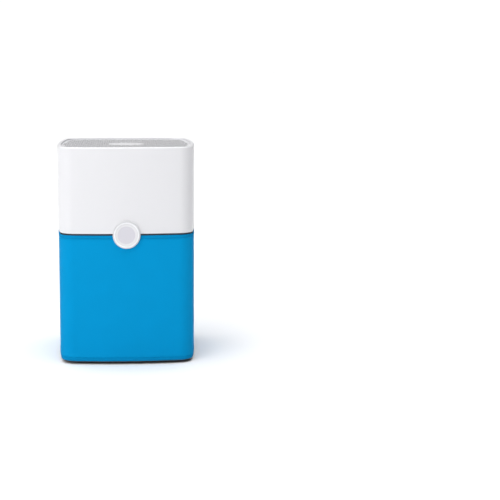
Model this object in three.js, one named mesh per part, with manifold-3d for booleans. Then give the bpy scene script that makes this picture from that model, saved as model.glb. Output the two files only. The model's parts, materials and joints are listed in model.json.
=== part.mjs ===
// A room air purifier: a bowed, round-cornered tower about 514 mm tall. A tray on rubber feet carries a
// square filter cartridge in a stretched fabric sleeve, and the fan unit stands on the cartridge, held by
// two sliding locks. Millimetres, +Z up. The origin is on the floor under the middle of the tower, the
// front with the round button faces -Y, and the rear with the cord gland faces +Y.

import * as THREE from 'three';
import { mergeVertices } from 'three/addons/utils/BufferGeometryUtils.js';
import Module from 'manifold-3d';

const wasm = await Module();
wasm.setup();

// ---------------------------------------------------------------- driving dimensions

const WIDTH = 330; // between the crowns of opposite sides
const HEIGHT = 514;
const SIDE_R = 990; // each side is bowed to this radius
const CORNER_R = 38;
const GAP = 0.3; // between pieces that touch
const HALF = WIDTH / 2;

const TRAY_BOTTOM = 6; // the feet hold the tray's rim this far off the floor
const SLEEVE_BOTTOM = 8;
const SLEEVE_TOP = 308;
const HOUSING_BOTTOM = 312;
const BUTTON_Z = (SLEEVE_TOP + HOUSING_BOTTOM) / 2; // the button straddles the seam
const FILTER_BOTTOM = 12.3;
const FILTER_TOP = 296; // the flat ring that the fan unit's seal presses on
const LIP_TOP = 302; // the raised lip inside that ring
const DECK_BOTTOM = 300.3;
const DECK_TOP = 306;
const GRILLE_TOP = 510; // the grille lies this far up, sunk below the rim

const OUTLINE_STEPS = { side: 4, corner: 4 };
const ROUND = 24; // sides of a large turned piece
const MOTOR_ROUND = 16;
const SMALL_ROUND = 10; // sides of a small one
const PIN_ROUND = 8; // sides of pins, posts and screws

// ---------------------------------------------------------------- materials

const finish = (color, roughness, metalness = 0) =>
  new THREE.MeshStandardMaterial({ color, roughness, metalness });

const whitePlastic = finish(0xf1f0f3, 0.28);
const blueFabric = finish(0x0590d2, 0.9);
const blueHem = finish(0x0480be, 0.85);
const charcoalPlastic = finish(0x2c2e32, 0.55);
const greyPlastic = finish(0xd5d8dc, 0.5);
const netPlastic = finish(0x9aa0a6, 0.7);
const filterPaper = finish(0xe8e6df, 0.95);
const foam = finish(0x3a3d41, 0.95);
const rubber = finish(0x1c1d1f, 0.8);
const steel = finish(0xb8bbc0, 0.35, 0.9);
const darkSteel = finish(0x5b5e63, 0.5, 0.8);
const copper = finish(0xb0673a, 0.4, 0.8);
const circuitBoard = finish(0x1f6a3b, 0.55);
const clearPlastic = finish(0xf7f7f9, 0.2);
const cableJacket = finish(0x232427, 0.6);

// ---------------------------------------------------------------- geometry helpers

/** The same closed geometry with shared corners, no empty triangles and its faces pointing out. */
function closed(geometry) {
  const bare = new THREE.BufferGeometry();
  bare.setAttribute('position', geometry.attributes.position);
  bare.setIndex(geometry.index);
  const merged = mergeVertices(bare, 1e-3);
  const at = (i) => new THREE.Vector3().fromBufferAttribute(merged.attributes.position, i);
  const corners = merged.index.array;
  const kept = [];
  let volume = 0;
  for (let i = 0; i < corners.length; i += 3) {
    const [a, b, c] = corners.slice(i, i + 3);
    if (a === b || b === c || c === a) continue;
    kept.push(a, b, c);
    volume += at(a).dot(at(b).cross(at(c)));
  }
  merged.setIndex(volume < 0 ? kept.reverse() : kept);
  merged.computeVertexNormals();
  return merged;
}

function toSolid(geometry) {
  const mesh = closed(geometry);
  return new wasm.Manifold(
    new wasm.Mesh({
      numProp: 3,
      vertProperties: new Float32Array(mesh.attributes.position.array),
      triVerts: new Uint32Array(mesh.index.array),
    }),
  );
}

function toGeometry(solid) {
  const mesh = solid.getMesh();
  const geometry = new THREE.BufferGeometry();
  geometry.setAttribute('position', new THREE.BufferAttribute(mesh.vertProperties, 3));
  geometry.setIndex(new THREE.BufferAttribute(mesh.triVerts, 1));
  geometry.computeVertexNormals();
  return geometry;
}

const join = (...shapes) => toGeometry(shapes.map(toSolid).reduce((whole, piece) => whole.add(piece)));

const cut = (shape, ...tools) =>
  toGeometry(tools.map(toSolid).reduce((whole, tool) => whole.subtract(tool), toSolid(shape)));

const common = (shape, other) => toGeometry(toSolid(shape).intersect(toSolid(other)));

// Each side is an arc about a point beyond the tower's middle, and meets the corner arcs smoothly.
const SIDE_CENTRE = SIDE_R - HALF;
const CORNER_CENTRE = (Math.sqrt(2 * (SIDE_R - CORNER_R) ** 2 - SIDE_CENTRE ** 2) - SIDE_CENTRE) / 2;
const SIDE_HALF_ANGLE = Math.atan2(CORNER_CENTRE, CORNER_CENTRE + SIDE_CENTRE);

/** The tower's plan, moved in by inset: four bowed sides and four round corners, as Vector2 points. */
function outline(inset, steps = OUTLINE_STEPS) {
  const sideR = SIDE_R - inset;
  const cornerR = CORNER_R - inset;
  const points = [];
  for (let quarter = 0; quarter < 4; quarter++) {
    const turn = (quarter * Math.PI) / 2;
    const add = (x, y) => points.push(new THREE.Vector2(x, y).rotateAround(new THREE.Vector2(), turn));
    for (let i = 0; i < steps.side; i++) {
      const angle = SIDE_HALF_ANGLE * ((2 * i) / steps.side - 1);
      add(sideR * Math.sin(angle), SIDE_CENTRE - sideR * Math.cos(angle));
    }
    for (let i = 0; i < steps.corner; i++) {
      const angle = SIDE_HALF_ANGLE + ((Math.PI / 2 - 2 * SIDE_HALF_ANGLE) * i) / steps.corner;
      add(CORNER_CENTRE + cornerR * Math.sin(angle), -CORNER_CENTRE - cornerR * Math.cos(angle));
    }
  }
  return points;
}

/** Whether a point of the plan is inside the outline moved in by inset. */
function insideOutline(x, y, inset) {
  const [u, v] = [Math.abs(x), Math.abs(y)];
  const inCorner = Math.min(u, v) > CORNER_CENTRE;
  if (inCorner) return Math.hypot(u - CORNER_CENTRE, v - CORNER_CENTRE) < CORNER_R - inset;
  return Math.hypot(Math.min(u, v), Math.max(u, v) + SIDE_CENTRE) < SIDE_R - inset;
}

/** A ring round the tower. Its section is a closed list of [inset, z]. */
function ring(section) {
  const loops = section.map(([inset]) => outline(inset));
  const count = loops[0].length;
  const positions = loops.flatMap((loop, row) => loop.flatMap((p) => [p.x, p.y, section[row][1]]));
  const index = [];
  for (let row = 0; row < section.length; row++) {
    const next = (row + 1) % section.length;
    for (let i = 0; i < count; i++) {
      const j = (i + 1) % count;
      const [a, b, c, d] = [row * count + i, row * count + j, next * count + j, next * count + i];
      index.push(a, b, c, a, c, d);
    }
  }
  const geometry = new THREE.BufferGeometry();
  geometry.setAttribute('position', new THREE.Float32BufferAttribute(positions, 3));
  geometry.setIndex(index);
  return closed(geometry);
}

/** A flat plate from z0 to z1 with the given outline and holes, each a list of Vector2. */
function plate(points, holes, z0, z1) {
  const shape = new THREE.Shape(points);
  shape.holes = holes.map((hole) => new THREE.Path(hole));
  const geometry = new THREE.ExtrudeGeometry(shape, { depth: z1 - z0, bevelEnabled: false });
  return closed(geometry.translate(0, 0, z0));
}

function polygon(radius, sides, x = 0, y = 0, firstAngle = 0) {
  return Array.from({ length: sides }, (_, i) => {
    const angle = firstAngle + (2 * Math.PI * i) / sides;
    return new THREE.Vector2(x + radius * Math.cos(angle), y + radius * Math.sin(angle));
  });
}

/** A piece turned about Z. Its section is a list of [radius, z], on the axis at both ends or closed. */
function turned(section, sides = ROUND) {
  const onAxis = section[0][0] === 0 && section.at(-1)[0] === 0;
  const points = section.map(([r, z]) => new THREE.Vector2(r, z));
  if (!onAxis) points.push(points[0].clone());
  return closed(new THREE.LatheGeometry(points, sides).rotateX(Math.PI / 2));
}

/** A washer-like piece from z0 to z1, or a plain disc where the inner radius is 0. */
const tube = (inner, outer, z0, z1, sides = ROUND) =>
  turned([[inner, z0], [outer, z0], [outer, z1], [inner, z1]], sides);

const rod = (radius, z0, z1, sides = SMALL_ROUND) => tube(0, radius, z0, z1, sides);

function box([x0, x1], [y0, y1], [z0, z1]) {
  const block = new THREE.BoxGeometry(x1 - x0, y1 - y0, z1 - z0);
  return closed(block.translate((x0 + x1) / 2, (y0 + y1) / 2, (z0 + z1) / 2));
}

/** A piece that was made about the Z axis, turned to lie along Y, with its own z becoming y. */
const alongY = (geometry, x, z) => geometry.rotateX(-Math.PI / 2).translate(x, 0, z);

const moved = (geometry, x, y, z) => geometry.clone().translate(x, y, z);

const mirroredX = (geometry) => closed(geometry.clone().scale(-1, 1, 1));

/** A thin vane: a grid of points along its span and chord, on each of its two faces (side 0 and 1). */
function vane(spanSteps, chordSteps, surface) {
  const positions = [];
  for (const side of [0, 1]) {
    for (let s = 0; s <= spanSteps; s++) {
      for (let c = 0; c <= chordSteps; c++) {
        positions.push(...surface(s / spanSteps, c / chordSteps, side));
      }
    }
  }
  const row = chordSteps + 1;
  const layer = (spanSteps + 1) * row;
  const index = [];
  const quad = (a, b, c, d) => index.push(a, b, c, a, c, d);
  for (let s = 0; s < spanSteps; s++) {
    for (let c = 0; c < chordSteps; c++) {
      const i = s * row + c;
      quad(i, i + 1, i + row + 1, i + row);
      quad(layer + i, layer + i + row, layer + i + row + 1, layer + i + 1);
    }
    const first = s * row;
    const last = first + chordSteps;
    quad(first, first + row, layer + first + row, layer + first);
    quad(last, layer + last, layer + last + row, last + row);
  }
  for (let c = 0; c < chordSteps; c++) {
    const near = c;
    const far = spanSteps * row + c;
    quad(near, layer + near, layer + near + 1, near + 1);
    quad(far, far + 1, layer + far + 1, layer + far);
  }
  const geometry = new THREE.BufferGeometry();
  geometry.setAttribute('position', new THREE.Float32BufferAttribute(positions, 3));
  geometry.setIndex(index);
  return closed(geometry);
}

const part = (name, geometry, material) => {
  const mesh = new THREE.Mesh(geometry, material);
  mesh.name = name;
  return mesh;
};

const body = (...children) => new THREE.Group().add(...children);

/** The four corners of a square, as [x, y], x0 out from the middle. */
const fourCorners = (x0) => [[-x0, -x0], [x0, -x0], [x0, x0], [-x0, x0]];

const CORNER_DISTANCE = CORNER_CENTRE * Math.SQRT2; // of a corner arc's middle from the axis

/** Four copies of a shape made on the +X side, turned to face the four corners. */
const atCorners = (make) => [1, 3, 5, 7].map((eighth) => make().rotateZ((eighth * Math.PI) / 4));

// ---------------------------------------------------------------- tray and feet

const FOOT_X = 120;
const TRAY_FLOOR = [9, 12];
const TRAY_WALL_TOP = 15;
const PEG_R = 5; // the rubber peg that plugs each foot into the tray

function baseTray() {
  const wall = ring([[2.2, TRAY_BOTTOM], [2.2, TRAY_WALL_TOP], [5.2, TRAY_WALL_TOP], [5.2, TRAY_BOTTOM]]);
  const sockets = fourCorners(FOOT_X).map(([x, y]) => polygon(PEG_R + GAP, SMALL_ROUND, x, y));
  const floor = plate(outline(4), sockets, ...TRAY_FLOOR);
  const ribHeight = [TRAY_BOTTOM, TRAY_FLOOR[0] + 0.5];
  const ribLength = [4 - HALF, HALF - 4];
  const ribWidth = [-1.5, 1.5];
  return join(wall, floor, box(ribLength, ribWidth, ribHeight), box(ribWidth, ribLength, ribHeight));
}

function rubberFoot() {
  const shoulder = TRAY_FLOOR[0] - GAP;
  const pegTop = TRAY_FLOOR[1] - GAP;
  return turned([[0, 0], [11, 0], [12, 1.2], [12, shoulder], [PEG_R, shoulder], [PEG_R, pegTop], [0, pegTop]],
    SMALL_ROUND);
}

function makeBase() {
  const names = ['foot_front_left', 'foot_front_right', 'foot_rear_right', 'foot_rear_left'];
  const feet = fourCorners(FOOT_X).map(([x, y], i) => {
    const foot = part(names[i], rubberFoot(), rubber);
    foot.position.set(x, y, 0);
    return foot;
  });
  return body(part('base_tray', baseTray(), charcoalPlastic), ...feet);
}

// ---------------------------------------------------------------- filter cartridge

const NET_Z = [32.3, 283.7];
const LIP_INSET = [23, 30]; // outer and inner faces of the raised lip
const PLEAT_STEPS = { side: 20, corner: 4 }; // folds, so half as many pleats
const NOTCH_Y = 12; // half-width of the notch that a lock's foot drops into
const UNDERCUT = { y: 26, top: 298.6 }; // where the foot slides in under the lip
const NOTCH_FLOOR = 295;
const FILTER_FLOOR_TOP = FILTER_BOTTOM + 3;

/** The channel that holds the lower ends of the net, the pleats and the liner. Its lip sits on the tray. */
const filterBottomFrame = () =>
  ring([
    [5.6, FILTER_BOTTOM], [5.6, TRAY_WALL_TOP + GAP], [2.4, TRAY_WALL_TOP + GAP], [2.4, 32], [7.8, 32],
    [7.8, FILTER_FLOOR_TOP], [28, FILTER_FLOOR_TOP], [28, 32], [30, 32], [30, FILTER_BOTTOM],
  ]);

function filterTopFrame() {
  const channel = ring([
    [2.4, 284], [2.4, FILTER_TOP], [LIP_INSET[0], FILTER_TOP], [LIP_INSET[0], LIP_TOP],
    [LIP_INSET[1], LIP_TOP], [LIP_INSET[1], 284], [27.5, 284], [27.5, 293], [4.7, 293], [4.7, 284],
  ]);
  const above = LIP_TOP + 1;
  const lipX = [HALF - LIP_INSET[1] - 1, HALF - LIP_INSET[0] + 1];
  const notch = box(lipX, [-NOTCH_Y, NOTCH_Y], [NOTCH_FLOOR, above]);
  const undercut = box(lipX, [NOTCH_Y - 1, UNDERCUT.y], [NOTCH_FLOOR, UNDERCUT.top]);
  const gapX = [CORNER_DISTANCE - 12, CORNER_DISTANCE + 20];
  const cornerGaps = atCorners(() => box(gapX, [-6, 6], [FILTER_TOP, above]));
  return cut(channel, notch, undercut, mirroredX(notch), mirroredX(undercut), ...cornerGaps);
}

/** One long sheet folded back and forth between the net and the liner. */
function pleatedMedia() {
  const fold = (outer, inner) => {
    const [out, back] = [outline(outer, PLEAT_STEPS), outline(inner, PLEAT_STEPS)];
    return out.map((point, i) => (i % 2 ? back[i] : point));
  };
  return plate(fold(8.3, 25.7), [fold(9.8, 27.2)], FILTER_FLOOR_TOP + GAP, 293 - GAP);
}

function makeFilter() {
  const net = ring([[4.5, NET_Z[0]], [4.5, NET_Z[1]], [5.5, NET_Z[1]], [5.5, NET_Z[0]]]);
  const liner = ring([[28.5, NET_Z[0]], [28.5, NET_Z[1]], [29.7, NET_Z[1]], [29.7, NET_Z[0]]]);
  return body(
    part('filter_bottom_frame', filterBottomFrame(), greyPlastic),
    part('filter_base_plate', plate(outline(30 + GAP), [], FILTER_BOTTOM, FILTER_FLOOR_TOP), greyPlastic),
    part('filter_net', net, netPlastic),
    part('filter_media', pleatedMedia(), filterPaper),
    part('filter_liner', liner, greyPlastic),
    part('filter_top_frame', filterTopFrame(), whitePlastic),
  );
}

// ---------------------------------------------------------------- fabric sleeve

const SLEEVE_INSIDE = 1.9;

function makeSleeve() {
  const hemHeight = 8;
  const [low, high] = [SLEEVE_BOTTOM + hemHeight, SLEEVE_TOP - hemHeight];
  const [z0, z1] = [low + GAP, high - GAP];
  const sheet = ring([[0.4, z0], [0.4, z1], [SLEEVE_INSIDE, z1], [SLEEVE_INSIDE, z0]]);
  const hem = (from, to) => ring([[0, from], [0, to], [SLEEVE_INSIDE, to], [SLEEVE_INSIDE, from]]);
  return body(
    part('prefilter_sleeve', sheet, blueFabric),
    part('sleeve_top_hem', hem(high, SLEEVE_TOP), blueHem),
    part('sleeve_bottom_hem', hem(SLEEVE_BOTTOM, low), blueHem),
  );
}

// ---------------------------------------------------------------- fan unit: deck, housing and grille

const BOSS_X = 137; // screw bosses in the four corners
const DECK_SCREW_R = 2;
const DECK_OPENING_R = 122;
const STEM = { x: [135.5, 141.5], y: [-10, -2] }; // upright of a lock, at rest
const LOCK_TRAVEL = 12;
const POCKET = { y: 15, z: [322, 334], depth: 5 };
const ARM_Z = [326, 330];
const SHROUD_SCREW_XY = 90.7;
const SHROUD_SCREW_R = 1.5;
const RIM_LEDGE = 507.2;
const CUP = { back: -165.6, floor: -167.6, edge: -170, inner: 30.4, outer: 32.3 };
const BUTTON_STEM = { x: 0, z: 324, r: 3.5, end: -150.6 }; // its end is in the switch
const GUIDE_PIN = { x: 16, z: 322, r: 2.5 };
const BOARD_Y = [-146.6, -145];
const BOARD_Z = [314, 364];
const BOARD_POST_X = 38;
const BOARD_SCREW_Z = 356;
const BOARD_REST_Z = 323;
const GLAND = { z: 330, r: 6.5, hole: 7.2, bore: 3.7 };

function lowerDeck() {
  const floorTop = DECK_BOTTOM + 3;
  const rim = ring([
    [4, DECK_BOTTOM], [4, 318], [7, 318], [7, floorTop], [18, floorTop], [18, DECK_TOP],
    [20.5, DECK_TOP], [20.5, DECK_BOTTOM],
  ]);
  const top = plate(outline(19), [polygon(DECK_OPENING_R, ROUND)], DECK_TOP - 3, DECK_TOP);
  const pads = fourCorners(BOSS_X).map(([x, y]) => moved(rod(6.5, DECK_BOTTOM + 1, 318, PIN_ROUND), x, y, 0));
  const screwHoles = fourCorners(BOSS_X).flatMap(([x, y]) => [
    moved(rod(DECK_SCREW_R + GAP, DECK_BOTTOM - 1, 319, PIN_ROUND), x, y, 0),
    moved(rod(4.5, DECK_BOTTOM - 1, 305, PIN_ROUND), x, y, 0),
  ]);
  const shroudHoles = fourCorners(SHROUD_SCREW_XY).map(([x, y]) =>
    moved(rod(SHROUD_SCREW_R + GAP, DECK_TOP - 4, DECK_TOP + 1, PIN_ROUND), x, y, 0));
  const slotX = [STEM.x[0] - 1, STEM.x[1] + 1];
  const slot = box(slotX, [-NOTCH_Y, NOTCH_Y], [DECK_TOP - 4, DECK_TOP + 1]);
  return cut(join(rim, top, ...pads), ...screwHoles, ...shroudHoles, slot, mirroredX(slot));
}

/** The dish that the button sits in. Its lower half hangs below the housing, in front of the sleeve. */
function buttonCup() {
  const dish = turned([
    [0, CUP.floor], [CUP.inner, CUP.floor], [CUP.inner, CUP.edge], [CUP.outer, CUP.edge],
    [CUP.outer, CUP.back], [0, CUP.back],
  ]);
  const bridge = rod(CUP.outer, CUP.back - 0.5, 2 - HALF, ROUND);
  const aboveSeam = box([-40, 40], [CUP.edge, -150], [HOUSING_BOTTOM, HOUSING_BOTTOM + 40]);
  return join(alongY(dish, 0, BUTTON_Z), common(alongY(bridge, 0, BUTTON_Z), aboveSeam));
}

const buttonHoles = () => {
  const hole = (r, x, z) => alongY(rod(r + 0.4, CUP.floor - 1, -160, PIN_ROUND), x, z);
  return [
    hole(BUTTON_STEM.r, BUTTON_STEM.x, BUTTON_STEM.z),
    hole(GUIDE_PIN.r, -GUIDE_PIN.x, GUIDE_PIN.z),
    hole(GUIDE_PIN.r, GUIDE_PIN.x, GUIDE_PIN.z),
  ];
};

/** The finger pocket that a lock slides in: the box behind the wall, and what is cut out of both. */
function lockPocket() {
  const floorX = HALF - POCKET.depth;
  const wall = 3;
  const behind = box(
    [floorX - wall, HALF - 2], [-POCKET.y - wall, POCKET.y + wall], [POCKET.z[0] - wall, POCKET.z[1] + wall],
  );
  const hollow = box([floorX, HALF + 1], [-POCKET.y, POCKET.y], POCKET.z);
  const slotY = LOCK_TRAVEL - 2 + GAP;
  const slot = box([floorX - wall - 1, floorX + 1], [-slotY, slotY], [ARM_Z[0] - GAP, ARM_Z[1] + GAP]);
  return { behind, hollow, slot };
}

function housing() {
  const shell = ring([
    [0, HOUSING_BOTTOM], [0, 509.5], [1.3, 512.7], [4.5, HEIGHT], [8, HEIGHT], [9, HEIGHT - 1],
    [9, RIM_LEDGE], [13, RIM_LEDGE], [13, 504.7], [7, 504.7], [3, 499], [3, HOUSING_BOTTOM],
  ]);
  const bossZ = [318 + GAP, 345];
  const bosses = fourCorners(BOSS_X).map(([x, y]) => moved(rod(6, ...bossZ, PIN_ROUND), x, y, 0));
  const webX = [CORNER_DISTANCE + 28, CORNER_DISTANCE + CORNER_R - 2];
  const webs = atCorners(() => box(webX, [-1.5, 1.5], bossZ));
  const bossHoles = fourCorners(BOSS_X).map(([x, y]) =>
    moved(rod(DECK_SCREW_R + GAP, 317, 340, PIN_ROUND), x, y, 0));
  const postEnd = BOARD_Y[0] - GAP;
  const posts = [-BOARD_POST_X, BOARD_POST_X].flatMap((x) => [
    alongY(rod(3.5, 2.5 - HALF, postEnd, PIN_ROUND), x, BOARD_SCREW_Z),
    alongY(rod(3, 2.5 - HALF, postEnd, PIN_ROUND), x, BOARD_REST_Z),
  ]);
  const postHoles = [-BOARD_POST_X, BOARD_POST_X].map((x) =>
    alongY(rod(1.5, postEnd - 9, postEnd + 1, PIN_ROUND), x, BOARD_SCREW_Z));
  const { behind, hollow, slot } = lockPocket();
  const glandHole = alongY(rod(GLAND.hole, HALF - 5, HALF + 2), 0, GLAND.z);
  return cut(
    join(shell, ...bosses, ...webs, ...posts, behind, mirroredX(behind), buttonCup()),
    ...bossHoles, ...postHoles, hollow, slot, mirroredX(hollow), mirroredX(slot), ...buttonHoles(), glandHole,
  );
}

const GRILLE_INSET = 9 + GAP;
const GRILLE_CENTRE_R = 37; // the middle is plain
const HOLE = { r: 6.4, pitch: 33 };

/** The outlet grille: staggered rows of holes, with a plain disc in the middle. */
function topGrille() {
  const rowStep = HOLE.pitch * Math.sin(Math.PI / 3);
  const rows = Math.floor(HALF / rowStep);
  const columns = Math.ceil(HALF / HOLE.pitch);
  const holes = [];
  for (let row = -rows; row <= rows; row++) {
    for (let column = -columns; column <= columns; column++) {
      const x = (column + (row % 2 ? 0.5 : 0)) * HOLE.pitch;
      const y = row * rowStep;
      const clearOfMiddle = Math.hypot(x, y) > GRILLE_CENTRE_R + HOLE.r;
      const clearOfEdge = insideOutline(x, y, GRILLE_INSET + 5 + HOLE.r);
      if (clearOfMiddle && clearOfEdge) holes.push(polygon(HOLE.r, 4, x, y));
    }
  }
  return plate(outline(GRILLE_INSET), holes, RIM_LEDGE + GAP, GRILLE_TOP);
}

/** The grid over the fan's inlet: two rows of slots along Y, either side of a middle rib. */
function inletGuard() {
  const seat = DECK_TOP + GAP;
  const top = seat + 1.5;
  const [slotWidth, pitch, count] = [9.4, 11, 10];
  const slots = [];
  for (let i = -count; i < count; i++) {
    const x = (i + 0.5) * pitch;
    const [x0, x1] = [x - slotWidth / 2, x + slotWidth / 2];
    const end = Math.sqrt(118 ** 2 - Math.max(Math.abs(x0), Math.abs(x1)) ** 2);
    for (const y of [[1, end], [-end, -1]]) slots.push(box([x0, x1], y, [seat - 3, top + 1]));
  }
  const [plugR, flangeR] = [DECK_OPENING_R - 2, DECK_OPENING_R + 3.5];
  const disc = [[0, seat - 2], [plugR, seat - 2], [plugR, seat], [flangeR, seat], [flangeR, top], [0, top]];
  return cut(turned(disc), ...slots);
}

/** A screw along Z, with its head from the crown to the neck and its shank from there to the end. */
const screw = (headR, crown, neck, shankR, end) =>
  turned([[0, crown], [headR, crown], [headR, neck], [shankR, neck], [shankR, end], [0, end]], PIN_ROUND);

// ---------------------------------------------------------------- fan unit: shroud and motor

const THROAT_R = 115.5; // inside of the fan's duct
const SHROUD_BOTTOM = DECK_TOP + 1.5 + 2 * GAP;
const SHROUD_TOP = 440;
const MOUNT_BOTTOM = 384; // the motor mount stands on a ledge in the shroud
const MOUNT_TOP_PLATE = [446.3, 449];
const VANES = 7;
const MOTOR_R = 46;
const MOTOR_SCREW_R = 30; // their distance from the axis
const SHAFT_R = 4;

const fanShroud = () =>
  cut(
    turned([
      [121, SHROUD_BOTTOM], [131.5, SHROUD_BOTTOM], [131.5, 311], [122.5, 311], [118, 320], [118, 381],
      [120.7, MOUNT_BOTTOM], [120.7, SHROUD_TOP - 3], [128, SHROUD_TOP - 3], [128, SHROUD_TOP],
      [118.2, SHROUD_TOP], [118.2, MOUNT_BOTTOM - GAP], [THROAT_R, MOUNT_BOTTOM - GAP], [THROAT_R, 320],
    ]),
    ...fourCorners(SHROUD_SCREW_XY).map(([x, y]) =>
      moved(rod(SHROUD_SCREW_R + GAP, SHROUD_BOTTOM - 1, 312, PIN_ROUND), x, y, 0)),
  );

/** The ring, the straightening vanes and the cup that hold the motor in the middle of the duct. */
function motorMount() {
  const cup = turned([
    [52, MOUNT_BOTTOM], [52, MOUNT_TOP_PLATE[1]], [12, MOUNT_TOP_PLATE[1]], [12, MOUNT_TOP_PLATE[0]],
    [49.5, MOUNT_TOP_PLATE[0]], [49.5, MOUNT_BOTTOM],
  ]);
  const outerRing = tube(THROAT_R + GAP, 117.9, MOUNT_BOTTOM, 436);
  const vanes = Array.from({ length: VANES }, (_, i) =>
    vane(1, 3, (span, rise, side) => {
      const r = THREE.MathUtils.lerp(51, 116.8, span);
      const lean = 0.36 * (rise - rise ** 2 / 2);
      const angle = (2 * Math.PI * i) / VANES + lean + (side - 0.5) * (2.2 / r);
      return [r * Math.cos(angle), r * Math.sin(angle), THREE.MathUtils.lerp(388, 432, rise)];
    }));
  const screwHoles = threeRound(MOTOR_SCREW_R).map(([x, y]) => moved(rod(1.8, 445, 450, PIN_ROUND), x, y, 0));
  return cut(join(cup, outerRing, ...vanes), ...screwHoles);
}

/** Three places round the axis, as [x, y]. */
function threeRound(radius) {
  return [90, 210, 330].map((degrees) => {
    const angle = THREE.MathUtils.degToRad(degrees);
    return [radius * Math.cos(angle), radius * Math.sin(angle)];
  });
}

const motorLowerBell = () =>
  turned([
    [6, 380], [MOTOR_R, 380], [MOTOR_R, 392], [43.5, 392], [43.5, 384], [13.5, 384], [13.5, 391],
    [11.3, 391], [11.3, 383.7], [6, 383.7],
  ], MOTOR_ROUND);

const motorUpperBell = () =>
  cut(
    turned([
      [6, 446], [6, 442.3], [11.3, 442.3], [11.3, 435], [13.5, 435], [13.5, 442], [43.5, 442],
      [43.5, 420.3], [MOTOR_R, 420.3], [MOTOR_R, 446],
    ], MOTOR_ROUND),
    ...threeRound(MOTOR_SCREW_R).map(([x, y]) => moved(rod(1.8, 441, 447, PIN_ROUND), x, y, 0)),
  );

function makeMotor() {
  const bearing = () => tube(SHAFT_R + GAP, 11, 0, 7, SMALL_ROUND);
  const motorParts = body(
    part('motor_mount', motorMount(), charcoalPlastic),
    part('motor_lower_bell', motorLowerBell(), steel),
    part('stator_core', tube(26.3, MOTOR_R, 392.3, 420, MOTOR_ROUND), darkSteel),
    part('stator_winding_lower', tube(28, 42.5, 384.6, 392, MOTOR_ROUND), copper),
    part('stator_winding_upper', tube(28, 42.5, 420.3, 429, MOTOR_ROUND), copper),
    part('motor_upper_bell', motorUpperBell(), steel),
  );
  for (const [name, z] of [['bearing_lower', 384], ['bearing_upper', 435]]) {
    const piece = part(name, bearing(), steel);
    piece.position.z = z;
    motorParts.add(piece);
  }
  threeRound(MOTOR_SCREW_R).forEach(([x, y], i) => {
    const top = MOUNT_TOP_PLATE[1] + GAP;
    const piece = part(`motor_screw_${i + 1}`, screw(3, top + 2, top, 1.5, 438), darkSteel);
    piece.position.set(x, y, 0);
    motorParts.add(piece);
  });
  return motorParts;
}

// ---------------------------------------------------------------- rotor

const HUB_R = 47;
const TIP_R = 113.2;
const BLADES = 7;

/** The axial impeller. It turns anticlockwise seen from above, and drives the air up. */
function impeller() {
  const hub = turned([
    [SHAFT_R + GAP, 324], [HUB_R, 324], [HUB_R, 368], [HUB_R - 3, 368], [HUB_R - 3, 327], [10, 327],
    [10, 350], [SHAFT_R + GAP, 350],
  ]);
  const blades = Array.from({ length: BLADES }, (_, i) =>
    vane(2, 3, (span, chord, side) => {
      const { lerp } = THREE.MathUtils;
      const r = lerp(HUB_R - 1.5, TIP_R, span);
      const sweep = 0.18 * span;
      const angle = (2 * Math.PI * i) / BLADES + sweep + lerp(0.62, 0.66, span) * (chord - 0.5);
      const camber = lerp(3, 2, span) * (1 - (2 * chord - 1) ** 2);
      const z = 347 - lerp(32, 20, span) * (chord - 0.5) + camber + (side - 0.5) * 2.4;
      return [r * Math.cos(angle), r * Math.sin(angle), z];
    }));
  return join(hub, ...blades);
}

const spinnerCap = () =>
  turned([
    [0, 312], [24, 313.4], [38, 317.4], [46, 323.7], [43, 323.7], [35, 318.8], [22, 315.8], [0, 314.5],
  ]);

const makeRotor = () =>
  body(
    part('motor_shaft', rod(SHAFT_R, 317.5, 443), steel),
    part('rotor_core', tube(SHAFT_R + GAP, 25.7, 393, 419, MOTOR_ROUND), darkSteel),
    part('fan_impeller', impeller(), charcoalPlastic),
    part('impeller_nut', plate(polygon(8, 6), [polygon(SHAFT_R + GAP, SMALL_ROUND)], 318.5, 323.7), steel),
    part('spinner_cap', spinnerCap(), charcoalPlastic),
  );

// ---------------------------------------------------------------- electrics

const LEAD_R = 2.5;
const MOTOR_LEAD_R = 2;

function controlBoard() {
  const board = box([-45, 45], BOARD_Y, BOARD_Z);
  const holes = [-BOARD_POST_X, BOARD_POST_X].map((x) =>
    alongY(rod(1.6, BOARD_Y[0] - 1, BOARD_Y[1] + 1, PIN_ROUND), x, BOARD_SCREW_Z));
  return cut(board, ...holes);
}

function tactSwitch() {
  const [front, back] = [-153.6, BOARD_Y[0] - GAP];
  const { x, z } = BUTTON_STEM;
  const block = box([x - 6, x + 6], [front, back], [z - 6, z + 6]);
  return cut(block, alongY(rod(2.2, front - 1, -148.5, PIN_ROUND), x, z));
}

const runCapacitor = () =>
  join(
    rod(16, 0, 48),
    box([-7, -5], [-3, 3], [47, 54]),
    box([5, 7], [-3, 3], [47, 54]),
  );

function terminalBlock() {
  const block = box([14, 44], [132, 146], [DECK_TOP + GAP, 322]);
  const recesses = [20, 29, 38].map((x) => moved(rod(2.8, 317, 323, PIN_ROUND), x, 139, 0));
  return cut(block, ...recesses);
}

const cordGland = () =>
  alongY(
    turned([
      [GLAND.bore, 155], [GLAND.r, 155], [GLAND.r, HALF + GAP], [9.5, HALF + GAP], [9.5, 168], [6.3, 168.4],
      [5.3, 171.4], [GLAND.bore, 171.4],
    ], SMALL_ROUND),
    0, GLAND.z,
  );

const glandNut = () =>
  alongY(plate(polygon(11, 6), [polygon(GLAND.hole, SMALL_ROUND)], 157, HALF - 4), 0, GLAND.z);

/** A round lead along a smooth curve through the points. */
function lead(points, radius, steps) {
  const path = new THREE.CatmullRomCurve3(points.map((p) => new THREE.Vector3(...p)));
  const section = new THREE.Shape(polygon(radius, 8));
  return closed(new THREE.ExtrudeGeometry(section, { steps, bevelEnabled: false, extrudePath: path }));
}

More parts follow.
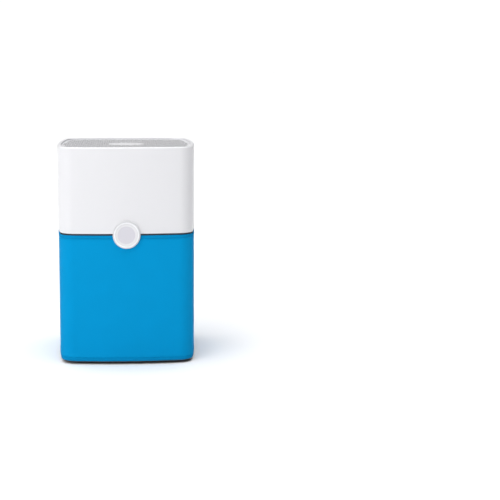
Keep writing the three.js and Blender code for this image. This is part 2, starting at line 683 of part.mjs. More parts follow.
// From the terminal block round the right-hand side to the board, under the lock's arm.
const SUPPLY_ROUTE = [
  [44.6, 139, 314], [80, 136, 312], [118, 116, 311], [140, 82, 311], [149, 40, 311.5], [150.5, 0, 312],
  [149, -40, 311.5], [140, -84, 312], [116, -116, 314], [86, -134, 320], [62, -140.5, 326], [40.6, -141, 327],
];

// From the top of the motor over the vanes and the shroud's flange, and down to the board.
const MOTOR_ROUTE = [
  [0, -8.6, 446.8], [0, -8.4, 451], [0, -13, 455.5], [0, -28, 456.5], [0, -60, 455], [0, -105, 450],
  [0, -127, 446], [0, -138, 435], [0, -141, 415], [0, -141, 390], [0, -141, 362.6],
];

function makeElectrics() {
  const connector = ([x0, x1], [z0, z1]) => box([x0, x1], [BOARD_Y[1] + GAP, -137], [z0, z1]);
  const electrics = body(
    part('control_board', controlBoard(), circuitBoard),
    part('tact_switch', tactSwitch(), charcoalPlastic),
    part('power_connector', connector([24, 40], [322, 332]), greyPlastic),
    part('motor_connector', connector([-8, 8], [350, 362]), greyPlastic),
    part('terminal_block', terminalBlock(), greyPlastic),
    part('cord_gland', cordGland(), charcoalPlastic),
    part('gland_nut', glandNut(), charcoalPlastic),
    part('supply_lead', lead(SUPPLY_ROUTE, LEAD_R, 22), cableJacket),
    part('motor_lead', lead(MOTOR_ROUTE, MOTOR_LEAD_R, 20), cableJacket),
  );
  const capacitor = part('run_capacitor', runCapacitor(), steel);
  capacitor.position.set(-112, 112, DECK_TOP + GAP);
  electrics.add(capacitor);
  [-BOARD_POST_X, BOARD_POST_X].forEach((x, i) => {
    const headY = BOARD_Y[1] + GAP;
    const shape = alongY(screw(2.8, headY + 1.8, headY, 1.2, headY - 9), x, BOARD_SCREW_Z);
    electrics.add(part(`board_screw_${i + 1}`, shape, darkSteel));
  });
  return electrics;
}

function makeFanUnit() {
  const seal = ring([[8, FILTER_TOP + GAP], [8, 300], [20, 300], [20, FILTER_TOP + GAP]]);
  const unit = body(
    part('upper_housing', housing(), whitePlastic),
    part('top_grille', topGrille(), whitePlastic),
    part('lower_deck', lowerDeck(), charcoalPlastic),
    part('seal_gasket', seal, foam),
    part('inlet_guard', inletGuard(), charcoalPlastic),
    part('fan_shroud', fanShroud(), charcoalPlastic),
    makeMotor(),
    makeElectrics(),
  );
  fourCorners(BOSS_X).forEach(([x, y], i) => {
    const piece = part(`deck_screw_${i + 1}`, screw(4, 301.7, 304.7, DECK_SCREW_R, 335), darkSteel);
    piece.position.set(x, y, 0);
    unit.add(piece);
  });
  fourCorners(SHROUD_SCREW_XY).forEach(([x, y], i) => {
    const shape = screw(3, 313.3, 311 + GAP, SHROUD_SCREW_R, 302.3);
    const piece = part(`shroud_screw_${i + 1}`, shape, darkSteel);
    piece.position.set(x, y, 0);
    unit.add(piece);
  });
  return unit;
}

// ---------------------------------------------------------------- button and locks

const BUTTON = { r: 29.8, face: 26.3, back: -169.4, front: -171 };

function makeButton() {
  const flange = BUTTON.back - 0.7;
  const cap = turned([
    [0, BUTTON.front], [BUTTON.face, BUTTON.front], [BUTTON.face, flange], [BUTTON.r, flange],
    [BUTTON.r, BUTTON.back], [0, BUTTON.back],
  ]);
  const stem = rod(BUTTON_STEM.r, BUTTON.back - 0.3, -156.7, PIN_ROUND);
  const tip = rod(1.9, -157, BUTTON_STEM.end, PIN_ROUND);
  const pin = () => rod(GUIDE_PIN.r, BUTTON.back - 0.3, -158.5, PIN_ROUND);
  const button = join(
    alongY(cap, 0, BUTTON_Z),
    alongY(stem, BUTTON_STEM.x, BUTTON_STEM.z),
    alongY(tip, BUTTON_STEM.x, BUTTON_STEM.z),
    alongY(pin(), -GUIDE_PIN.x, GUIDE_PIN.z),
    alongY(pin(), GUIDE_PIN.x, GUIDE_PIN.z),
  );
  const lightRing = tube(BUTTON.face + GAP, BUTTON.r, BUTTON.front - 0.4, flange - GAP);
  return body(
    part('power_button', button, whitePlastic),
    part('button_light_ring', alongY(lightRing, 0, BUTTON_Z), clearPlastic),
  );
}

/** A sliding lock: a ribbed knob in its pocket, an arm through the slot, and a foot for under the lip. */
function lock() {
  const knobX = [HALF - 4.2, HALF - 1.4];
  const ribX = [knobX[1] - 0.5, HALF - 0.4];
  const ribs = [-11, -8, -5, -2].map((y) => box(ribX, [y - 0.6, y + 0.6], [324, 332]));
  return join(
    box(knobX, [-14, 2], [POCKET.z[0] + 0.5, POCKET.z[1] - 0.5]),
    ...ribs,
    box([STEM.x[0] + 0.5, knobX[0] + 0.5], STEM.y, ARM_Z),
    box(STEM.x, STEM.y, [NOTCH_FLOOR + GAP + 1, ARM_Z[1]]),
    box(STEM.x, [STEM.y[0], -STEM.y[0]], [NOTCH_FLOOR + GAP, UNDERCUT.top - GAP]),
  );
}

const makeLocks = () =>
  body(part('lock_right', lock(), whitePlastic), part('lock_left', mirroredX(lock()), whitePlastic));

// ---------------------------------------------------------------- assembly

const purifier = body(
  makeBase(), makeSleeve(), makeFilter(), makeFanUnit(), makeRotor(), makeButton(), makeLocks(),
);

export default purifier;
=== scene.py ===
"""The looks of a room air purifier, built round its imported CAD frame: a white fan housing with a pierced
grille and a round button, on a pleated filter cartridge in a blue fabric sleeve.

Shapes are written in millimetres, in the frame's own axes, and become metres when a piece is made.
A section is a list of (inset, z) for a ring round the tower, or (radius, z) for a turned piece, and a third
number in a point is the radius that rounds that corner."""

import json
import math
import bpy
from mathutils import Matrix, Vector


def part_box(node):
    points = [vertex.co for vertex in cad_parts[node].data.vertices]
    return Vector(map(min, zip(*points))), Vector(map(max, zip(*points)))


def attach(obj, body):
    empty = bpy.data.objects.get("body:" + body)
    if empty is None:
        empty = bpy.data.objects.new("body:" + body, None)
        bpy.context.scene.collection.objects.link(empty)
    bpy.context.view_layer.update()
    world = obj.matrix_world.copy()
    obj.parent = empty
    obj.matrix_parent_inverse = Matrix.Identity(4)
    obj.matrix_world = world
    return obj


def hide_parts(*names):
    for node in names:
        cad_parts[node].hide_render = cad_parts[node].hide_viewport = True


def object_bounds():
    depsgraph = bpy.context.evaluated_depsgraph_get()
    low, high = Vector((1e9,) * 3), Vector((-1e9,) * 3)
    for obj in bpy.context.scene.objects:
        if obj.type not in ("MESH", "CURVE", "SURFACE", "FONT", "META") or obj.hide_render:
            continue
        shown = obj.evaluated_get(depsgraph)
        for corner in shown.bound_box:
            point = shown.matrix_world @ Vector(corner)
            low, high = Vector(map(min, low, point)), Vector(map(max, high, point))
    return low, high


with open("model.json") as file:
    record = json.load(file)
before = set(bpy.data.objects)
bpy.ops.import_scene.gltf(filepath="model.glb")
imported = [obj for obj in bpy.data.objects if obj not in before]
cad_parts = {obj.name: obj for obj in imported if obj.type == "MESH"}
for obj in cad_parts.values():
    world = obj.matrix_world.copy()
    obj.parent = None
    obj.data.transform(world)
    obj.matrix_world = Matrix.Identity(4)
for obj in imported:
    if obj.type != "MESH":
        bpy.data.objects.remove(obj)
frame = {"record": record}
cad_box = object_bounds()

from types import SimpleNamespace

import bmesh
import bpy
import numpy as np
from mathutils import Matrix, Vector

MM = 0.001
TURN = 2 * math.pi

NODE_BODY = {
    node: body for body, nodes in frame["record"]["behaviour"]["bodies"].items() for node in nodes
}
NODE_SLOT = {part["node"]: part["material_slot"] for part in frame["record"]["subparts"]}


def extent(*nodes):
    """The box round some CAD nodes, in millimetres."""
    boxes = [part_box(node) for node in nodes]
    low = [min(b[0][i] for b in boxes) / MM for i in range(3)]
    high = [max(b[1][i] for b in boxes) / MM for i in range(3)]
    return SimpleNamespace(
        x0=low[0], y0=low[1], z0=low[2], x1=high[0], y1=high[1], z1=high[2],
        x=(low[0] + high[0]) / 2, y=(low[1] + high[1]) / 2, z=(low[2] + high[2]) / 2,
    )


# ---------------------------------------------------------------- the tower's plan

SIDE_R = 990
CORNER_R = 38
HALF = extent("upper_housing").x1
SIDE_CENTRE = SIDE_R - HALF
CORNER_CENTRE = (math.sqrt(2 * (SIDE_R - CORNER_R) ** 2 - SIDE_CENTRE**2) - SIDE_CENTRE) / 2
SIDE_ANGLE = math.atan2(CORNER_CENTRE, CORNER_CENTRE + SIDE_CENTRE)
SIDE_STEPS = 16
CORNER_STEPS = 12


def outline(inset, side_steps=SIDE_STEPS, corner_steps=CORNER_STEPS):
    """The plan moved in by inset, as an array of x, y that starts at the front's left end."""
    side = SIDE_ANGLE * (2 * np.arange(side_steps) / side_steps - 1)
    corner = SIDE_ANGLE + (math.pi / 2 - 2 * SIDE_ANGLE) * np.arange(corner_steps) / corner_steps
    x = np.concatenate([(SIDE_R - inset) * np.sin(side), CORNER_CENTRE + (CORNER_R - inset) * np.sin(corner)])
    y = np.concatenate(
        [SIDE_CENTRE - (SIDE_R - inset) * np.cos(side), -CORNER_CENTRE - (CORNER_R - inset) * np.cos(corner)]
    )
    quarters = [(x, y), (-y, x), (-x, -y), (y, -x)]
    return np.concatenate([np.column_stack(quarter) for quarter in quarters])


def inside_outline(x, y, inset):
    """Whether a point of the plan lies inside the outline moved in by inset."""
    low, high = sorted((abs(x), abs(y)))
    if low > CORNER_CENTRE:
        return math.hypot(low - CORNER_CENTRE, high - CORNER_CENTRE) < CORNER_R - inset
    return math.hypot(low, high + SIDE_CENTRE) < SIDE_R - inset


class Track:
    """The outline at one inset as a road: at(s) is a point s mm along it, out(s) its outward side."""

    def __init__(self, inset):
        loop = outline(inset, 96, 48)
        self.points = np.vstack([loop, loop[:1]])
        steps = np.linalg.norm(np.diff(self.points, axis=0), axis=1)
        self.distance = np.concatenate([[0], np.cumsum(steps)])
        self.length = self.distance[-1]

    def at(self, s):
        s = np.mod(s, self.length)
        return np.column_stack([np.interp(s, self.distance, self.points[:, i]) for i in (0, 1)])

    def out(self, s):
        ahead = self.at(np.asarray(s) + 0.5) - self.at(np.asarray(s) - 0.5)
        ahead /= np.linalg.norm(ahead, axis=1)[:, None]
        return np.column_stack([ahead[:, 1], -ahead[:, 0]])


# ---------------------------------------------------------------- shapes: (points, faces) in millimetres


def rounded(section, radius=0.0, closed=True, steps=3):
    """The section with an arc at each corner that has a radius, its own or the one given for all."""
    corners = [(Vector(p[:2]), p[2] if len(p) > 2 else radius) for p in section]
    count = len(corners)
    points = []
    for i, (here, r) in enumerate(corners):
        if not closed and i in (0, count - 1):
            points.append(here)
            continue
        before, after = corners[i - 1][0] - here, corners[(i + 1) % count][0] - here
        half = before.angle(after) / 2
        reach = min(r / math.tan(half), 0.45 * before.length, 0.45 * after.length)
        if r <= 0 or half > math.radians(88):
            points.append(here)
            continue
        start, end = here + before.normalized() * reach, here + after.normalized() * reach
        middle = here + (before.normalized() + after.normalized()).normalized() * reach / math.cos(half)
        spread = (start - middle).angle_signed(end - middle)
        for k in range(steps + 1):
            turn = Matrix.Rotation(-spread * k / steps, 2)
            points.append(middle + turn @ (start - middle))
    return points


def merged(*shapes):
    points, faces = [], []
    for shape_points, shape_faces in shapes:
        base = len(points)
        points.extend(tuple(float(c) for c in p) for p in shape_points)
        faces.extend(tuple(i + base for i in face) for face in shape_faces)
    return points, faces


def skinned(loops, joined=True, capped=False):
    """Faces between loops of equally many points. joined closes the last loop on the first one; capped
    closes each end with a flat face, or with a fan where the loop is a single point."""
    points, starts, faces = [], [], []
    for loop in loops:
        starts.append(len(points))
        points.extend(loop)
    sizes = [len(loop) for loop in loops]
    for k in range(len(loops) if joined else len(loops) - 1):
        a, b = starts[k], starts[(k + 1) % len(loops)]
        m, n = sizes[k], sizes[(k + 1) % len(loops)]
        for i in range(max(m, n)):
            j = (i + 1) % max(m, n)
            if m == 1:
                faces.append((a, b + j, b + i))
            elif n == 1:
                faces.append((a + i, a + j, b))
            else:
                faces.append((a + i, a + j, b + j, b + i))
    if capped:
        for start, size in ((starts[0], sizes[0]), (starts[-1], sizes[-1])):
            if size > 1:
                faces.append(tuple(range(start, start + size)))
    return points, faces


def ring(section, radius=0.0, capped=False, steps=3, corner=CORNER_STEPS, side=SIDE_STEPS):
    """A ring round the tower with that section. A capped one is closed across the tower at both ends."""
    loops = []
    for inset, z in rounded(section, radius, not capped, steps):
        loops.append([(x, y, z) for x, y in outline(inset, side, corner)])
    return skinned(loops, not capped, capped)


def turned(section, radius=0.0, sides=96, steps=3, x=0.0, y=0.0):
    """A piece turned about an upright axis, closed on itself or with both ends on the axis."""
    on_axis = section[0][0] == 0 and section[-1][0] == 0
    angles = TURN * np.arange(sides) / sides
    loops = []
    for r, z in rounded(section, radius, not on_axis, steps):
        if r < 1e-6:
            loops.append([(x, y, z)])
        else:
            loops.append([(x + r * math.cos(t), y + r * math.sin(t), z) for t in angles])
    return skinned(loops, not on_axis)


def tube(inner, outer, z0, z1, radius=0.3, **more):
    return turned([(inner, z0), (outer, z0), (outer, z1), (inner, z1)], radius, **more)


def rod(r, z0, z1, radius=0.3, **more):
    return turned([(0, z0), (r, z0, radius), (r, z1, radius), (0, z1)], **more)


def block(x0, x1, y0, y1, z0, z1, radius=0.5, steps=2):
    """A box with all its edges rounded."""
    mesh = bmesh.new()
    bmesh.ops.create_cube(mesh, size=1)
    size = Vector((abs(x1 - x0), abs(y1 - y0), abs(z1 - z0)))
    middle = Vector((x0 + x1, y0 + y1, z0 + z1)) / 2
    for v in mesh.verts:
        v.co = middle + Vector(c * s for c, s in zip(v.co, size))
    if radius:
        reach = min(radius, 0.45 * min(size))
        bmesh.ops.bevel(mesh, geom=mesh.edges[:], offset=reach, segments=steps, profile=0.5, affect="EDGES")
    mesh.verts.index_update()
    points = [tuple(v.co) for v in mesh.verts]
    faces = [tuple(v.index for v in f.verts) for f in mesh.faces]
    mesh.free()
    return points, faces


def changed(shape, change):
    points, faces = shape
    return [change(*p) for p in points], faces


def along_y(shape, x=0.0, z=0.0):
    """A shape made about the upright axis, laid along Y, so that its own z becomes y."""
    return changed(shape, lambda a, b, c: (x + a, c, z - b))


def rod_y(r, y0, y1, x, z, radius=0, sides=40):
    return along_y(rod(r, y0, y1, radius, sides=sides), x, z)


def spun(shape, angle):
    c, s = math.cos(angle), math.sin(angle)
    return changed(shape, lambda x, y, z: (c * x - s * y, s * x + c * y, z))


def mirrored(shape):
    return changed(shape, lambda x, y, z: (-x, y, z))


def four_corners(reach):
    return [(-reach, -reach), (reach, -reach), (reach, reach), (-reach, reach)]


def rods(places, r, z0, z1, radius=0, sides=24):
    return [rod(r, z0, z1, radius, x=x, y=y, sides=sides) for x, y in places]


def all_round(shape, count, start=0.5):
    """Copies spread evenly round the upright axis. start is where the first one goes, in steps."""
    return [spun(shape, TURN * (k + start) / count) for k in range(count)]


def cable(route, radius, sides=14, per_span=6):
    """A round lead on a smooth curve through the route's points, with rounded ends."""
    points = [Vector(p) for p in route]
    padded = [2 * points[0] - points[1], *points, 2 * points[-1] - points[-2]]
    line = [points[0]]
    for i in range(len(points) - 1):
        near = padded[i : i + 4]
        knots = [0.0]
        for a, b in zip(near, near[1:]):
            knots.append(knots[-1] + math.sqrt((b - a).length))
        for k in range(1, per_span + 1):
            t = knots[1] + (knots[2] - knots[1]) * k / per_span
            level = near
            for starts, ends in ((knots[:3], knots[1:]), (knots[:2], knots[2:]), (knots[1:2], knots[2:3])):
                level = [
                    a.lerp(b, (t - low) / (high - low))
                    for a, b, low, high in zip(level, level[1:], starts, ends)
                ]
            line.append(level[0])
    return piped(line, radius, sides)


def piped(line, radius, sides=14, tip=0.6):
    """A solid round bar along a line of points, narrowed to tip times its radius at both ends."""
    ahead = [(b - a).normalized() for a, b in zip(line, line[1:])]
    ahead = [ahead[0], *[(a + b).normalized() for a, b in zip(ahead, ahead[1:])], ahead[-1]]
    side = ahead[0].orthogonal().normalized()
    loops = []
    for i, (point, way) in enumerate(zip(line, ahead)):
        side = (side - way * side.dot(way)).normalized()
        other = way.cross(side)
        r = radius * (tip if i in (0, len(line) - 1) else 1)
        loops.append(
            [point + r * (side * math.cos(t) + other * math.sin(t)) for t in TURN * np.arange(sides) / sides]
        )
    return skinned(loops, False, True)


# ---------------------------------------------------------------- pieces


def filling(box, radius, steps=2):
    """A block that fills a CAD node's box."""
    return block(box.x0, box.x1, box.y0, box.y1, box.z0, box.z1, radius, steps)


def placed(name, data):
    """A new object in the scene that shows the data."""
    made = bpy.data.objects.new(name, data)
    bpy.context.scene.collection.objects.link(made)
    return made


def welded(mesh, reach):
    """Joins points less than reach metres apart and turns the faces of every closed part out."""
    work = bmesh.new()
    work.from_mesh(mesh)
    bmesh.ops.remove_doubles(work, verts=work.verts[:], dist=reach)
    bmesh.ops.recalc_face_normals(work, faces=work.faces[:])
    work.to_mesh(mesh)
    work.free()


def to_object(name, shape):
    """A piece in metres from a shape in millimetres."""
    points, faces = shape
    mesh = bpy.data.meshes.new(name)
    mesh.from_pydata([tuple(c * MM for c in p) for p in points], [], [list(f) for f in faces])
    welded(mesh, 1e-7)
    return placed(name, mesh)


def evaluated_mesh(made):
    """A mesh of the object as it shows, with its modifiers or its curve's bevel applied."""
    graph = bpy.context.evaluated_depsgraph_get()
    graph.update()
    return bpy.data.meshes.new_from_object(made.evaluated_get(graph), depsgraph=graph)


def combined(made, shape, operation, crossing):
    """Cuts a shape from a piece, or joins it on. crossing is for a shape whose own parts overlap."""
    tool = to_object("tool", shape)
    step = made.modifiers.new("combine", "BOOLEAN")
    step.operation = operation
    step.solver = "EXACT"
    step.use_self = crossing
    step.object = tool
    old, made.data = made.data, evaluated_mesh(made)
    made.modifiers.clear()
    bpy.data.meshes.remove(old)
    bpy.data.objects.remove(tool)
    return made


def cut(made, *shapes, crossing=False):
    return combined(made, merged(*shapes), "DIFFERENCE", crossing)


def joined(made, *shapes, crossing=False):
    return combined(made, merged(*shapes), "UNION", crossing)


def two_toned(mesh, second, chosen):
    """White plastic, with the second material on the faces that chosen(middle in mm, normal) picks."""
    for name in ("white_plastic", second):
        mesh.materials.append(MATERIALS[name])
    for face in mesh.polygons:
        face.material_index = int(chosen(face.center / MM, face.normal))


def finished(made, slot, body, sharp=38, weighted=True):
    """Gives a piece smooth shading, its body, and its slot's material when it has no material yet."""
    mesh = made.data
    mesh.shade_smooth()
    mesh.set_sharp_from_angle(angle=math.radians(sharp))
    if not mesh.materials:
        mesh.materials.append(MATERIALS[slot])
    if weighted:
        step = made.modifiers.new("flat faces stay flat", "WEIGHTED_NORMAL")
        step.keep_sharp = True
        step.weight = 60
    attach(made, body)
    return made


def stands_for(made, node, **more):
    """The finished piece takes the CAD node's place, body and finish."""
    made.name = f"{node}_detailed"
    finished(made, NODE_SLOT[node], NODE_BODY[node], **more)
    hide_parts(node)
    return made


def detail(node, shape, added=(), holes=(), **more):
    """The piece for a CAD node, from one shape with others joined on and then cut out."""
    made = to_object(node, shape)
    if added:
        joined(made, *added)
    if holes:
        cut(made, *holes)
    return stands_for(made, node, **more)


# ---------------------------------------------------------------- materials


def add_node(tree, kind, inputs=(), **settings):
    """A node whose inputs are given as values or as the sockets that feed them."""
    made = tree.nodes.new(f"ShaderNode{kind}")
    for name, value in settings.items():
        setattr(made, name, value)
    for socket, value in dict(inputs).items():
        if isinstance(value, bpy.types.NodeSocket):
            tree.links.new(value, made.inputs[socket])
        else:
            made.inputs[socket].default_value = value
    return made


class Finish:
    """One material. Its helpers add nodes and return the sockets that carry their results."""

    def __init__(self, name, colour, roughness, metallic=0.0, **sockets):
        self.material = bpy.data.materials.new(name)
        self.material.use_nodes = True
        self.tree = self.material.node_tree
        self.shader = self.tree.nodes["Principled BSDF"]
        self.shader.inputs["Base Color"].default_value = (*colour, 1)
        self.shader.inputs["Roughness"].default_value = roughness
        self.shader.inputs["Metallic"].default_value = metallic
        for socket, value in sockets.items():
            self.shader.inputs[socket.replace("_", " ")].default_value = value
        self.material.diffuse_color = (*colour, 1)
        self.place = self.node("TexCoord").outputs["Object"]

    def node(self, kind, inputs=(), **settings):
        return add_node(self.tree, kind, inputs, **settings)

    def set(self, socket, value):
        self.tree.links.new(value, self.shader.inputs[socket])
        return self

    def stretched(self, across, up):
        """The place on the piece with its directions scaled, so that noise there is drawn out."""
        inputs = {"Vector": self.place, "Scale": (across, across, up)}
        return self.node("Mapping", inputs).outputs["Vector"]

    def noise(self, size, octaves=3, place=None):
        """Noise with features about size millimetres across."""
        inputs = {"Vector": place or self.place, "Scale": 1 / (size * MM), "Detail": octaves}
        return self.node("TexNoise", inputs).outputs["Fac"]

    def math(self, operation, a, b=0.0):
        return self.node("Math", {0: a, 1: b}, operation=operation).outputs[0]

    def between(self, value, low, high, start=0.3, end=0.7):
        inputs = {"Value": value, "From Min": start, "From Max": end, "To Min": low, "To Max": high}
        return self.node("MapRange", inputs).outputs["Result"]

    def mixed(self, factor, first, second):
        """Two colours mixed. Inputs 6 and 7 and output 2 are the Mix node's colour sockets."""
        inputs = {"Factor": factor}
        for socket, colour in ((6, first), (7, second)):
            inputs[socket] = colour if isinstance(colour, bpy.types.NodeSocket) else (*colour, 1)
        return self.node("Mix", inputs, data_type="RGBA").outputs[2]

    def toned(self, factor, colour, dark, light):
        """Gives the surface its colour, from dark to light times it as the factor goes from 0 to 1."""
        return self.set("Base Color", self.mixed(factor, shade(colour, dark), shade(colour, light)))

    def bumped(self, height, depth, strength=1.0):
        """Relief of the height, depth millimetres deep."""
        inputs = {"Height": height, "Distance": depth * MM, "Strength": strength}
        return self.set("Normal", self.node("Bump", inputs).outputs["Normal"])


def shade(colour, factor):
    return tuple(min(1.0, c * factor) for c in colour)


def moulded(name, colour, roughness, grain=0.35, depth=0.02, spread=0.06, tint=0.04, cloud=40, **sockets):
    """Moulded plastic: a slightly uneven tone, grain in the surface and roughness that wanders a little."""
    made = Finish(name, colour, roughness, **sockets)
    made.toned(made.noise(cloud, 3), colour, 1 - tint, 1 + tint)
    made.set("Roughness", made.between(made.noise(25, 4), roughness - spread, roughness + spread, 0.2, 0.8))
    return made.bumped(made.noise(grain, 2), depth)


# colour, roughness, and moulded()'s grain, depth, spread and tint
MOULDED = {
    "charcoal_plastic": ((0.04, 0.042, 0.047), 0.5, 0.45, 0.03, 0.08, 0.2),
    "grey_plastic": ((0.60, 0.62, 0.65), 0.48, 0.6, 0.015, 0.06, 0.04),
    "netting": ((0.74, 0.75, 0.76), 0.55, 0.3, 0.02, 0.08, 0.08),
    "foot_rubber": ((0.014, 0.014, 0.016), 0.78, 0.5, 0.05, 0.1, 0.3),
    "cable_jacket": ((0.02, 0.02, 0.022), 0.55, 0.8, 0.02, 0.08, 0.2),
    "component_black": ((0.02, 0.02, 0.022), 0.4, 0.4, 0.02, 0.08, 0.15),
    "grille_shade": ((0.16, 0.16, 0.17), 0.6, 0.5, 0.01, 0.08, 0.1),  # the holes' walls, painted dark as shade
}


def white_plastic():
    return moulded("white_plastic", (0.715, 0.715, 0.735), 0.3, 0.9, 0.002, 0.008, 0.004, cloud=3)


def button_face():
    """The dished middle of the button, in a darker satin."""
    return moulded("button_face", (0.61, 0.60, 0.65), 0.38, 0.5, 0.004, 0.03, 0.01, cloud=6)


def solder():
    return moulded("solder", (0.62, 0.63, 0.64), 0.3, 0.8, 0.02, 0.08, 0.1, metallic=1.0)


def light_guide():
    milky = {"Subsurface_Weight": 0.15, "Subsurface_Radius": (0.002, 0.002, 0.002)}
    return moulded("light_guide", (0.90, 0.91, 0.93), 0.34, 0.5, 0.01, 0.05, 0.01, **milky)


def foam():
    """Closed-cell foam: small pits all over, painted darker inside as shade."""
    colour = (0.05, 0.054, 0.06)
    made = Finish("foam", colour, 0.95, Sheen_Weight=0.15)
    cells = made.node("TexVoronoi", {"Vector": made.place, "Scale": 1 / (0.9 * MM)}).outputs["Distance"]
    pits = made.between(cells, 0.0, 1.0, 0.1, 0.5)
    return made.toned(pits, colour, 0.35, 1.5).bumped(pits, 0.25)


def knit(name, colour, rib, sheen, valley_shade=0.66, depth=0.12, roughness=0.84):
    """A fine knit. Its UV map runs along the cloth in metres: u round the tower, v up it."""
    made = Finish(name, colour, roughness, Sheen_Weight=sheen, Sheen_Roughness=0.45, Specular_IOR_Level=0.06)
    made.shader.inputs["Sheen Tint"].default_value = (*shade(colour, 1.6), 1)
    split = made.node("SeparateXYZ", {"Vector": made.node("UVMap", uv_map="cloth").outputs["UV"]})
    pull = made.math("MULTIPLY", made.noise(5, 2), 2.6)
    u, v = (
        made.math("ADD", made.math("MULTIPLY", split.outputs[axis], math.pi / (rib * MM)), pull)
        for axis in ("X", "Y")
    )
    rising = made.math("ABSOLUTE", made.math("SINE", made.math("ADD", u, v)))
    falling = made.math("ABSOLUTE", made.math("SINE", made.math("SUBTRACT", u, v)))
    yarn = made.math("MAXIMUM", rising, falling)
    fuzz = made.noise(0.5, 3)
    height = made.math("ADD", yarn, made.math("MULTIPLY", fuzz, 0.35))
    # Painted light and shade: the yarns' crests lighter and the valleys between them darker, following the
    # knit's relief.
    lit = made.mixed(made.between(yarn, 0.0, 1.0, 0.55, 1.0), shade(colour, valley_shade), shade(colour, 1.12))
    made.set("Base Color", made.mixed(made.between(made.noise(45, 3), 0.0, 0.16), lit, shade(colour, 0.8)))
    made.set("Roughness", made.between(fuzz, roughness - 0.08, roughness + 0.08))
    return made.bumped(height, depth)


def blue_fabric():
    return knit("blue_fabric", (0.0, 0.292, 0.615), 1.5, 0.03)


def blue_hem():
    """The hems: the same yarn in a darker and finer knit."""
    return knit("blue_hem", (0.0, 0.235, 0.51), 1.1, 0.03, 0.7)


def filter_media():
    """Pressed fibres: a soft white felt with long hairs in it."""
    colour = (0.84, 0.84, 0.82)
    made = Finish("filter_media", colour, 0.95, Sheen_Weight=0.2)
    hairs = made.noise(0.7, 5, made.stretched(1.0, 0.25))
    return made.toned(made.between(hairs, 0.0, 1.0), colour, 0.86, 1.08).bumped(hairs, 0.12)


def steel():
    """Zinc-plated steel with fine turning marks."""
    colour = (0.56, 0.57, 0.59)
    made = Finish("steel", colour, 0.34, 1.0)
    marks = made.noise(0.35, 3, made.stretched(0.12, 1.0))
    made.set("Roughness", made.between(marks, 0.26, 0.44))
    return made.toned(made.noise(14, 3), colour, 0.86, 1.1).bumped(marks, 0.01)


def dark_steel():
    """Blackened sheet in thin layers, as in a motor's core."""
    colour = (0.10, 0.10, 0.112)
    made = Finish("dark_steel", colour, 0.42, 0.9)
    height = made.node("SeparateXYZ", {"Vector": made.place}).outputs["Z"]
    layer = made.math("ABSOLUTE", made.math("SINE", made.math("MULTIPLY", height, math.pi / (0.7 * MM))))
    made.set("Roughness", made.between(made.noise(3, 3), 0.34, 0.55))
    return made.toned(made.between(layer, 0.0, 1.0, 0.1, 0.5), colour, 0.4, 1.3).bumped(layer, 0.06)


def copper_winding():
    """Enamelled wire, wound in turns across the coil's head. Its colour is painted lighter on the raised
    turns and darker in the grooves between them, as light and shade.
    """
    colour = (0.55, 0.20, 0.07)
    made = Finish("copper_winding", colour, 0.3, 0.9, Coat_Weight=0.5, Coat_Roughness=0.15)
    wires = made.noise(0.6, 2, made.stretched(1.0, 0.35))
    return made.toned(made.between(wires, 0.0, 1.0), colour, 0.5, 1.25).bumped(wires, 0.25)


def circuit_board():
    """Green solder mask over fine straight tracks, with bare patches of mask between their bundles."""
    colour = (0.012, 0.14, 0.05)
    made = Finish("circuit_board", colour, 0.35, Coat_Weight=0.3, Coat_Roughness=0.2)
    split = made.node("SeparateXYZ", {"Vector": made.place})
    face = made.node("CombineXYZ", {"X": split.outputs["X"], "Y": split.outputs["Z"]}).outputs["Vector"]
    gaps = {"Mortar Size": 0.35 * MM, "Brick Width": 9 * MM, "Row Height": 1.3 * MM}
    lines = made.node("TexBrick", {"Vector": face, "Scale": 1, **gaps}).outputs["Fac"]
    bundles = made.math("GREATER_THAN", made.noise(9, 1), 0.5)
    tracks = made.math("MULTIPLY", lines, bundles)
    return made.toned(tracks, colour, 1.0, 1.9).bumped(tracks, 0.05)


MATERIALS = {name: moulded(name, *values).material for name, values in MOULDED.items()}
for make in (
    white_plastic, button_face, solder, light_guide, blue_fabric, blue_hem, filter_media, foam,
    steel, dark_steel, copper_winding, circuit_board,
):
    MATERIALS[make.__name__] = make().material

# ---------------------------------------------------------------- tray and feet


RIB_PITCH = 28


def base_tray():
    tray = extent("base_tray")
    outer, inner = HALF - tray.x1, HALF - tray.x1 + 3
    floor = (tray.z0 + 3, tray.z0 + 6)
    made = to_object("tray", ring([
        (inner, floor[0]), (inner, tray.z0, 0.6), (outer, tray.z0, 1.0), (outer, tray.z1, 1.2),
        (inner, tray.z1, 0.6), (inner, floor[1], 1.0), (inner + 4, floor[1]),
    ], capped=True))
    ribs = []
    for offset in range(-5 * RIB_PITCH, 5 * RIB_PITCH + 1, RIB_PITCH):
        length = max(y for y in range(100, 165) if inside_outline(abs(offset) + 1, y, outer + 1))
        ribs.append(block(-length, length, offset - 1, offset + 1, tray.z0 + 0.6, floor[0] + 0.8, 0.3))
        ribs.append(block(offset - 1, offset + 1, -length, length, tray.z0 + 0.4, floor[0] + 0.9, 0.3))
    joined(made, *ribs, crossing=True)
    foot = extent("foot_front_left")
    feet = four_corners(foot.x)
    cut(made, *rods(feet, 13.2, tray.z0 - 1, floor[0], sides=48))
    cut(made, *rods(feet, 5.3, floor[0] - 1, floor[1] + 1, sides=48))
    stands_for(made, "base_tray")


def rubber_feet():
    for node in ("foot_front_left", "foot_front_right", "foot_rear_left", "foot_rear_right"):
        foot = extent(node)
        radius = foot.y1 - foot.y
        shoulder = foot.z1 - 3
        grooves = [
            point for r in (4, 7) for point in ((r - 0.7, 0), (r - 0.5, 0.7), (r + 0.5, 0.7), (r + 0.7, 0))
        ]
        detail(node, turned([
            (0, 0.4), (2, 0), *grooves, (radius - 1, 0, 0.6), (radius, 1.2, 0.8), (radius, shoulder, 0.6),
            (5, shoulder), (5, foot.z1, 0.5), (0, foot.z1),
        ], sides=64, x=foot.x, y=foot.y))


# ---------------------------------------------------------------- fabric sleeve

